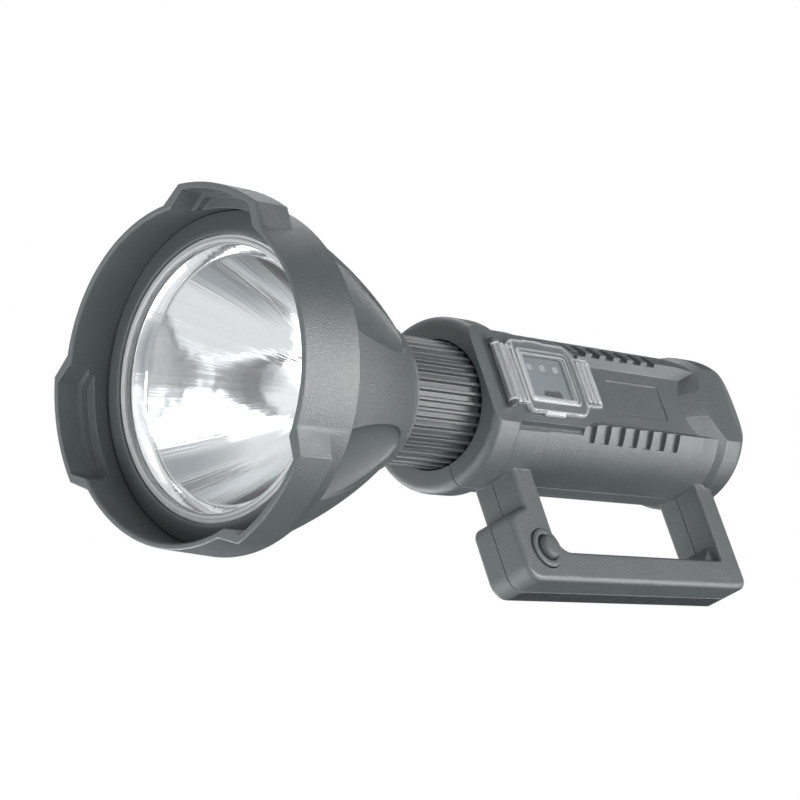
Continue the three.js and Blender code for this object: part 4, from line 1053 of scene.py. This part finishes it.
tail = carved(turned([
    (0, TAIL_FLARE_START),
    (TAIL - TAIL_FLARE_RISE, TAIL_FLARE_START),
    (TAIL, TAIL_FLARE_END, 0.5),
    (TAIL, TAIL_END, TAIL_ROUND),
    (0, TAIL_END),
], segments=8), ("DIFFERENCE", block(
    TAIL_FLAT, OUTSIDE, TAIL_FLAT_FRONT, BEHIND_BODY, -OUTSIDE, OUTSIDE)))
platform_side = PLATFORM_HALF - PLATFORM_CORNER_RISE
platform = slab([
    (BODY_FRONT + RING_ROUND, -PLATFORM_HALF),
    (PLATFORM_REAR - PLATFORM_CORNER_RUN, -PLATFORM_HALF),
    (PLATFORM_REAR, -platform_side),
    (PLATFORM_REAR, platform_side),
    (PLATFORM_REAR - PLATFORM_CORNER_RUN, PLATFORM_HALF),
    (BODY_FRONT + RING_ROUND, PLATFORM_HALF),
], CHANNEL - PLATFORM_WALL, PLATFORM)
slope = CHANNEL_FLARE / (PLATFORM - CHANNEL)
channel_top = CHANNEL_HALF + slope * (OUTSIDE - CHANNEL)
channel = ring_slab([
    (CHANNEL, -CHANNEL_HALF),
    (CHANNEL, CHANNEL_HALF),
    (OUTSIDE, channel_top),
    (OUTSIDE, -channel_top),
], PLATFORM_REAR, CHANNEL_REAR)


def slice_off(x0, y0, y1, half_height=OUTSIDE):
    """All of the body on the deck side past x0, between two stations."""
    return ("DIFFERENCE", block(x0, OUTSIDE, y0, y1, -half_height, half_height))


cavity_radius = BARREL - BARREL_WALL
platform_inside = PLATFORM_REAR - CHANNEL_WALL
cavity = carved(
    turned([
        (0, CAVITY_FRONT),
        (cavity_radius, CAVITY_FRONT),
        (cavity_radius, CAVITY_REAR),
        (0, CAVITY_REAR),
    ], 64),
    slice_off(PLATFORM - PLATFORM_WALL, BEFORE_BODY, platform_inside),
    slice_off(CHANNEL - CHANNEL_WALL, platform_inside, BEHIND_BODY),
)
recess = turned([
    (0, BEFORE_BODY),
    (COLLAR_RIB + RECESS_GAP, BEFORE_BODY),
    (COLLAR_RIB + RECESS_GAP, RECESS_FLOOR),
    (SLEEVE_HOLE, RECESS_FLOOR),
    (SLEEVE_HOLE, CAVITY_FRONT + OVERRUN),
    (0, CAVITY_FRONT + OVERRUN),
], 96)
lug_inside = HINGE_HALF + FIT
lug_spans = ((-lug_inside - HINGE_LUG, -lug_inside), (lug_inside, lug_inside + HINGE_LUG))
hinge_lugs = merged(*[upright_bar(KNUCKLE, z0, z1) for z0, z1 in lug_spans])
hinge_feet = merged(*[
    block(PLATFORM - PLATFORM_WALL, HINGE_HEIGHT, HINGE_STATION - KNUCKLE, HINGE_STATION + KNUCKLE,
          z0, z1)
    for z0, z1 in lug_spans])


def rounded_plate(front, rear, half_height, x0, x1, rounds, edge=0.0):
    """A plate on the deck with rounded corners, the front pair by the first of the rounds."""
    return slab([
        (front, -half_height, rounds[0]),
        (rear, -half_height, rounds[1]),
        (rear, half_height, rounds[1]),
        (front, half_height, rounds[0]),
    ], x0, x1, edge)


label = rounded_plate(
    LABEL_FRONT, LABEL_REAR, LABEL_HALF, CHANNEL - LABEL_DEPTH, OUTSIDE,
    (LABEL_CORNER, LABEL_CORNER))
screw_holes = merged(*[
    cross_bar(SCREW_HOLE, -SCREW_SEAT - 1, SCREW_HOLE_END, *place) for place in SCREWS])
screw_seats = merged(*[
    cross_bar(SCREW_SEAT_RADIUS, -OUTSIDE, -SCREW_SEAT, *place) for place in SCREWS])
wall_inside = HANDLE_HALF - BUTTON_WALL
button_place = (BUTTON_STATION, -BUTTON_DEPTH)
switch_bay = block(
    SWITCH_BAY_FLOOR, wall_inside,
    BUTTON_STATION - SWITCH_BAY_HALF, BUTTON_STATION + SWITCH_BAY_HALF,
    -BUTTON_DEPTH - SWITCH_BAY_BELOW, SWITCH_BAY_ABOVE - BUTTON_DEPTH)
lead_way = block(
    -LEAD_WAY_HALF, LEAD_WAY_HALF, BUTTON_STATION - LEAD_WAY_FRONT, BUTTON_STATION - LEAD_WAY_REAR,
    -BUTTON_DEPTH, 1 - cavity_radius)
body = carved(
    barrel,
    ("DIFFERENCE", waist),
    slice_off(PLATFORM, BEFORE_BODY, PLATFORM_REAR),
    slice_off(SHELF, RING_REAR + 0.5, POCKET_FRONT),
    slice_off(SHELF, POCKET_FRONT - 1, SHELF_REAR, POCKET_HALF),
    ("DIFFERENCE", merged(*[notch(i, side) for side in (-1, 1) for i in range(NOTCHES)])),
    ("UNION", platform),
    ("DIFFERENCE", channel),
    ("UNION", tail),
    ("UNION", handle()),
    ("UNION", web()),
    ("UNION", hinge_feet),
    ("UNION", hinge_lugs),
    ("DIFFERENCE", recess),
    ("DIFFERENCE", cavity),
    ("DIFFERENCE", label),
    ("DIFFERENCE", block(*PANEL_OPENING)),
    ("DIFFERENCE", upright_bar(PIN_HOLE, -PIN_REACH, PIN_REACH)),
    ("DIFFERENCE", cross_bar(WELL_RADIUS, WELL_FLOOR, wall_inside, *button_place)),
    ("DIFFERENCE", switch_bay),
    ("DIFFERENCE", lead_way),
    ("DIFFERENCE", cross_bar(BUTTON_RADIUS + FIT, BUTTON_BORE_FLOOR, BUTTON_REACH, *button_place)),
    ("DIFFERENCE", cross_bar(
        BUTTON_RING_RADIUS + FIT, HANDLE_HALF - BUTTON_SEAT, BUTTON_REACH, *button_place)),
    ("DIFFERENCE", screw_holes),
    ("DIFFERENCE", screw_seats),
)


def half(bm, x, side, tongue=0.0):
    """The part of a solid on one side of the seam, closed again at the cut. A tongue stands off
    the cut, in from its edges, and keeps light and dust from coming through the seam."""
    part = bm.copy()
    cut = bmesh.ops.bisect_plane(
        part, geom=part.verts[:] + part.edges[:] + part.faces[:], plane_co=(x, 0, 0),
        plane_no=(side, 0, 0), clear_inner=True, dist=1e-4)
    rims = [e for e in cut["geom_cut"] if isinstance(e, bmesh.types.BMEdge)]
    made = bmesh.ops.triangle_fill(part, edges=rims, use_beauty=False, normal=(-side, 0, 0))
    if tongue:
        cap = [f for f in made["geom"] if isinstance(f, bmesh.types.BMFace)]
        bmesh.ops.inset_region(part, faces=cap, thickness=TONGUE_INSET, depth=tongue,
                               use_even_offset=True, use_boundary=True)
    return part


piece("shell_right", half(body, SEAM_RIGHT, 1), shell_abs, node="right_shell")
piece("shell_left", half(body, SEAM_LEFT, -1, TONGUE), shell_abs, node="left_shell")
body.free()

# Push button
# A rubber key with a low dome, which a flange holds behind the handle's wall, in a raised ABS ring
# that is pressed into the foot.
BUTTON_TOP = HANDLE_HALF + 2.8
BUTTON_FLANGE_TOP = wall_inside - FIT
BUTTON_REAR = BUTTON_FLANGE_TOP - 1.2
BUTTON_FLANGE = 5.0
RING_PROUD = 0.9


def button_turned(profile):
    """A profile of (radius, height over the handle's middle), spun about the button's axis."""
    bm = turned(profile, 96, 5)
    bmesh.ops.rotate(bm, verts=bm.verts, matrix=Matrix.Rotation(-math.pi / 2, 3, "Z"))
    bmesh.ops.translate(bm, verts=bm.verts, vec=(0, BUTTON_STATION, -BUTTON_DEPTH))
    return bm


# Compression-moulded silicone rubber: darker and duller than the ABS round it.
rubber = moulded("moulded_rubber", base="4f5558", shade="474d50", relief=0.1, rough=0.6, grain=0.4)
piece("button", button_turned([
    (0, BUTTON_REAR),
    (BUTTON_FLANGE, BUTTON_REAR),
    (BUTTON_FLANGE, BUTTON_FLANGE_TOP),
    (BUTTON_RADIUS, BUTTON_FLANGE_TOP),
    (BUTTON_RADIUS, BUTTON_TOP - 0.5, 1.0),
    (BUTTON_RADIUS - 1.3, BUTTON_TOP - 0.1, 0.8),
    (0, BUTTON_TOP),
]), rubber, body="button", node="push_button")
ring_bottom = HANDLE_HALF - BUTTON_SEAT + FIT
piece("button_collar", button_turned([
    (BUTTON_RADIUS + FIT, ring_bottom),
    (BUTTON_RING_RADIUS, ring_bottom),
    (BUTTON_RING_RADIUS, HANDLE_HALF + RING_PROUD, 0.5),
    (BUTTON_RADIUS + FIT, HANDLE_HALF + RING_PROUD, 0.4),
]), shell_abs, node="button_ring")

# Lid
# A clear polycarbonate flap over the display and the charging socket. It turns on a pin at its
# front, has a raised window with stepped frames, and a ribbed finger tab at its rear.
LID_UNDER = PLATFORM + FIT
LID_THICKNESS = 1.9
LID_FRONT = 121.2
LID_REAR = 151.4
LID_HALF = 12.38
LID_CORNER = 3.0
LID_EDGE = 0.4
LID_WINDOW_FRONT = 122.9
LID_WINDOW_REAR = 147.6
LID_WINDOW_HALF = 8.98
LID_WINDOW_RISE = 0.5
LID_SKIN = 1.0
LID_RIM = 1.2
LID_TAB_REAR = 159.0
LID_TAB_HALF = 8.58
LID_RIBS = (HINGE_STATION + 2.4, HINGE_STATION + 4.8)
LID_RIB_HALF = 0.6
LID_RIB_RISE = 0.7
TAB_RIBS = (152.9, 155.3, 157.6)
TAB_RIB_HALF = 0.5
TAB_RIB_RISE = 0.45
TAB_RIB_SHORT = 1.6
CATCH_FRONT = 129.0
CATCH_REAR = 138.0
CATCH_THICKNESS = 1.2
CATCH_PROUD = 0.7
LID_FLOWS_PER_METRE = 180.0
LID_HIGHLIGHT_BENDS = (0.997, 0.93)
LID_HIGHLIGHT_REACH = 1.2
LID_THROUGH = (0.90, 0.1)
LID_CLEAR = "e9ecee"
LID_EDGE_HIGHLIGHT = "ffffff"

lid_top = LID_UNDER + LID_THICKNESS
window_top = lid_top + LID_WINDOW_RISE
plate = slab([
    (LID_FRONT, -LID_HALF, 1.0),
    (LID_REAR - LID_CORNER, -LID_HALF, 0.8),
    (LID_REAR, LID_CORNER - LID_HALF, 0.8),
    (LID_REAR, LID_HALF - LID_CORNER, 0.8),
    (LID_REAR - LID_CORNER, LID_HALF, 0.8),
    (LID_FRONT, LID_HALF, 1.0),
], LID_UNDER, lid_top, LID_EDGE)
raised = rounded_plate(
    LID_WINDOW_FRONT, LID_WINDOW_REAR, LID_WINDOW_HALF, LID_UNDER + 0.5, window_top, (0.8, 2.0),
    LID_EDGE)
hollow = rounded_plate(
    LID_WINDOW_FRONT + LID_RIM, LID_WINDOW_REAR - LID_RIM, LID_WINDOW_HALF - LID_RIM,
    LID_UNDER - 4, window_top - LID_SKIN, (0.8, 1.4))
neck = block(
    LID_UNDER, lid_top - LID_EDGE, HINGE_STATION, LID_FRONT + 2, -HINGE_HALF, HINGE_HALF, 0.2)
knuckles = upright_bar(KNUCKLE, -HINGE_HALF, HINGE_HALF)
tab = rounded_plate(
    LID_REAR - 2, LID_TAB_REAR, LID_TAB_HALF, LID_UNDER + 0.6, lid_top, (1.0, 1.6), 0.3)
strip_ribs = merged(*[
    block(LID_UNDER, lid_top + LID_RIB_RISE, station - LID_RIB_HALF, station + LID_RIB_HALF,
          -HINGE_HALF, HINGE_HALF, 0.3)
    for station in LID_RIBS])
tab_rib_half = LID_TAB_HALF - TAB_RIB_SHORT
tab_ribs = merged(*[
    block(lid_top - 0.4, lid_top + TAB_RIB_RISE, station - TAB_RIB_HALF, station + TAB_RIB_HALF,
          -tab_rib_half, tab_rib_half, 0.25)
    for station in TAB_RIBS])
catch_half = LID_HALF + CATCH_PROUD
catches = block(
    LID_UNDER, LID_UNDER + CATCH_THICKNESS, CATCH_FRONT, CATCH_REAR, -catch_half, catch_half, 0.2)
lid = carved(
    plate,
    ("UNION", raised),
    ("UNION", neck),
    ("UNION", knuckles),
    ("UNION", strip_ribs),
    ("UNION", tab),
    ("UNION", tab_ribs),
    ("UNION", catches),
    ("DIFFERENCE", hollow),
    ("DIFFERENCE", upright_bar(PIN_HOLE, -PIN_REACH, PIN_REACH)),
)


def moulded_polycarbonate():
    """Clear polycarbonate from a plain mould, a little milky. Its steps and edges are painted white
    and let less light through: a painted highlight for the light they gather, so they stand out as
    pale lines."""
    material = blank("moulded_polycarbonate")
    tree = material.node_tree
    place = add(tree, "ShaderNodeTexCoord")
    flow = add(tree, "ShaderNodeTexNoise", {
        "Vector": place.outputs["Object"], "Scale": LID_FLOWS_PER_METRE, "Detail": 2.0})
    ripple = add(tree, "ShaderNodeBump", {
        "Height": flow.outputs["Fac"], "Strength": 0.08, "Distance": 0.001})
    round_edge = add(tree, "ShaderNodeBevel", {"Radius": LID_HIGHLIGHT_REACH / 1000}, samples=8)
    # Painted highlight: near the rounded steps and edges the plate turns white and less clear.
    painted_edge_glow = ranged(tree, edge_bend(tree, round_edge), LID_HIGHLIGHT_BENDS)
    clear = add(tree, "ShaderNodeBsdfPrincipled", {
        "Base Color": blend(tree, painted_edge_glow, colour(LID_CLEAR), colour(LID_EDGE_HIGHLIGHT)),
        "Roughness": 0.05, "IOR": POLYCARBONATE_IOR,
        "Transmission Weight": ranged(tree, painted_edge_glow, given=LID_THROUGH),
        "Normal": ripple.outputs["Normal"]})
    add(tree, "ShaderNodeOutputMaterial", {"Surface": clear.outputs["BSDF"]})
    return material


lid_polycarbonate = moulded_polycarbonate()
piece("flap", lid, lid_polycarbonate, body="lid", node="charge_lid")

# Hinge pin
# A ground stainless steel pin through the lid's knuckle and the two lugs: bright, with fine
# rings from the centreless grinder.
ground_steel = worked_metal("ground_stainless_steel", "c9cbcc", "bcbfc0", 0.22, 0.1, (0, 0, 1))
finish_node("lid_hinge_pin", ground_steel)

# Display panel
# A satin grey ABS plate under the lid. Three opal windows light up with the charge, and the
# charging socket stands in its slot.
satin_abs = moulded("satin_abs", base="9aa0a4", shade="92989c", relief=0.04, rough=0.4, edge=0.2,
                    edge_highlight_tone="b4b9bc")
finish_node("display_panel", satin_abs)
# Opal polycarbonate: moulded milky, so that each window glows evenly.
opal = moulded("opal_polycarbonate", base="e4e7e9", shade="dadee0", relief=0.02, rough=0.2,
               edge=0.2, edge_highlight_tone="f4f6f7")
for number in (1, 2, 3):
    finish_node(f"light_window_{number}", opal)
# Stamped steel with bright nickel plate: smooth, with faint rolling lines along it.
nickel_plate = worked_metal("nickel_plated_steel", "c4c3bd", "b6b5af", 0.22, 0.15, (0, 0, 1))
finish_node("charge_socket", nickel_plate)

# Boards
# The control board under the panel and the small switch board in the foot: glass-epoxy laminate
# under green solder mask, which shows the weave faintly.
green_mask = moulded("green_solder_mask", base="2f6b45", shade="285c3b", grain=0.5, relief=0.12,
                     rough=0.3, edge_highlight_tone="8f9a6a")
finish_node("control_board", green_mask)
finish_node("switch_board", green_mask)

# Key switch
# The tact switch behind the rubber button: glass-filled nylon, moulded matt.
nylon = moulded("glass_filled_nylon", base="2b2e30", shade="242729", relief=0.2, rough=0.5,
                edge_highlight_tone="43474a")
finish_node("button_switch", nylon)

# Cells
# Three cells side by side in the barrel, in blue PVC film shrunk tight over the can: glossy, with
# a slight orange peel. Two ribbed polypropylene plates hold them.
shrink_film = moulded("shrunk_pvc_film", base="4a78a8", shade="436d99", grain=1.2, relief=0.1,
                      rough=0.22, edge_highlight_tone="7d9dbd")
for number in (1, 2, 3):
    finish_node(f"battery_cell_{number}", shrink_film)
# Injection-moulded polypropylene: near black, waxy and matt.
polypropylene = moulded("moulded_polypropylene", base="3a3d3f", shade="333638", relief=0.1,
                        rough=0.5, edge_highlight_tone="55595b")
finish_node("cell_plate_front", polypropylene)
finish_node("cell_plate_rear", polypropylene)

# Shell screws
# Five zinc-plated steel screws with cross-recessed pan heads. They stand in deep seats in the
# left shell and draw the right one to it.
SCREW_HEAD = 2.7
SCREW_HEAD_RISE = 1.8
SCREW_SHANK = 1.4
SCREW_LENGTH = 10.5
SCREW_POINT = 1.2
CROSS_HALF = 1.6
CROSS_WIDTH = 0.4
CROSS_DEPTH = 1.1

# Bright zinc plate: silvery with a blue cast, and finely mottled.
zinc_plate = worked_metal("zinc_plated_steel", "c2c6ca", "aeb4ba", 0.3, 0.3, (1, 1, 1))
for number, (station, height) in enumerate(SCREWS, 1):
    head = turned([
        (0, -SCREW_HEAD_RISE),
        (SCREW_HEAD, -SCREW_HEAD_RISE, 1.1),
        (SCREW_HEAD, 0, 0.2),
        (SCREW_SHANK, 0),
        (SCREW_SHANK, SCREW_LENGTH - SCREW_POINT),
        (0, SCREW_LENGTH),
    ], 48)
    screw = carved(head, *[
        ("DIFFERENCE", block(-wide, wide, -OVERRUN, CROSS_DEPTH - SCREW_HEAD_RISE, -deep, deep))
        for wide, deep in ((CROSS_HALF, CROSS_WIDTH), (CROSS_WIDTH, CROSS_HALF))])
    bmesh.ops.rotate(screw, verts=screw.verts, matrix=Matrix.Rotation(-math.pi / 2, 3, "Z"))
    bmesh.ops.translate(screw, verts=screw.verts, vec=(-SCREW_SEAT - FIT, station, height))
    piece(f"screw_{number}", screw, zinc_plate, node=f"shell_screw_{number}")
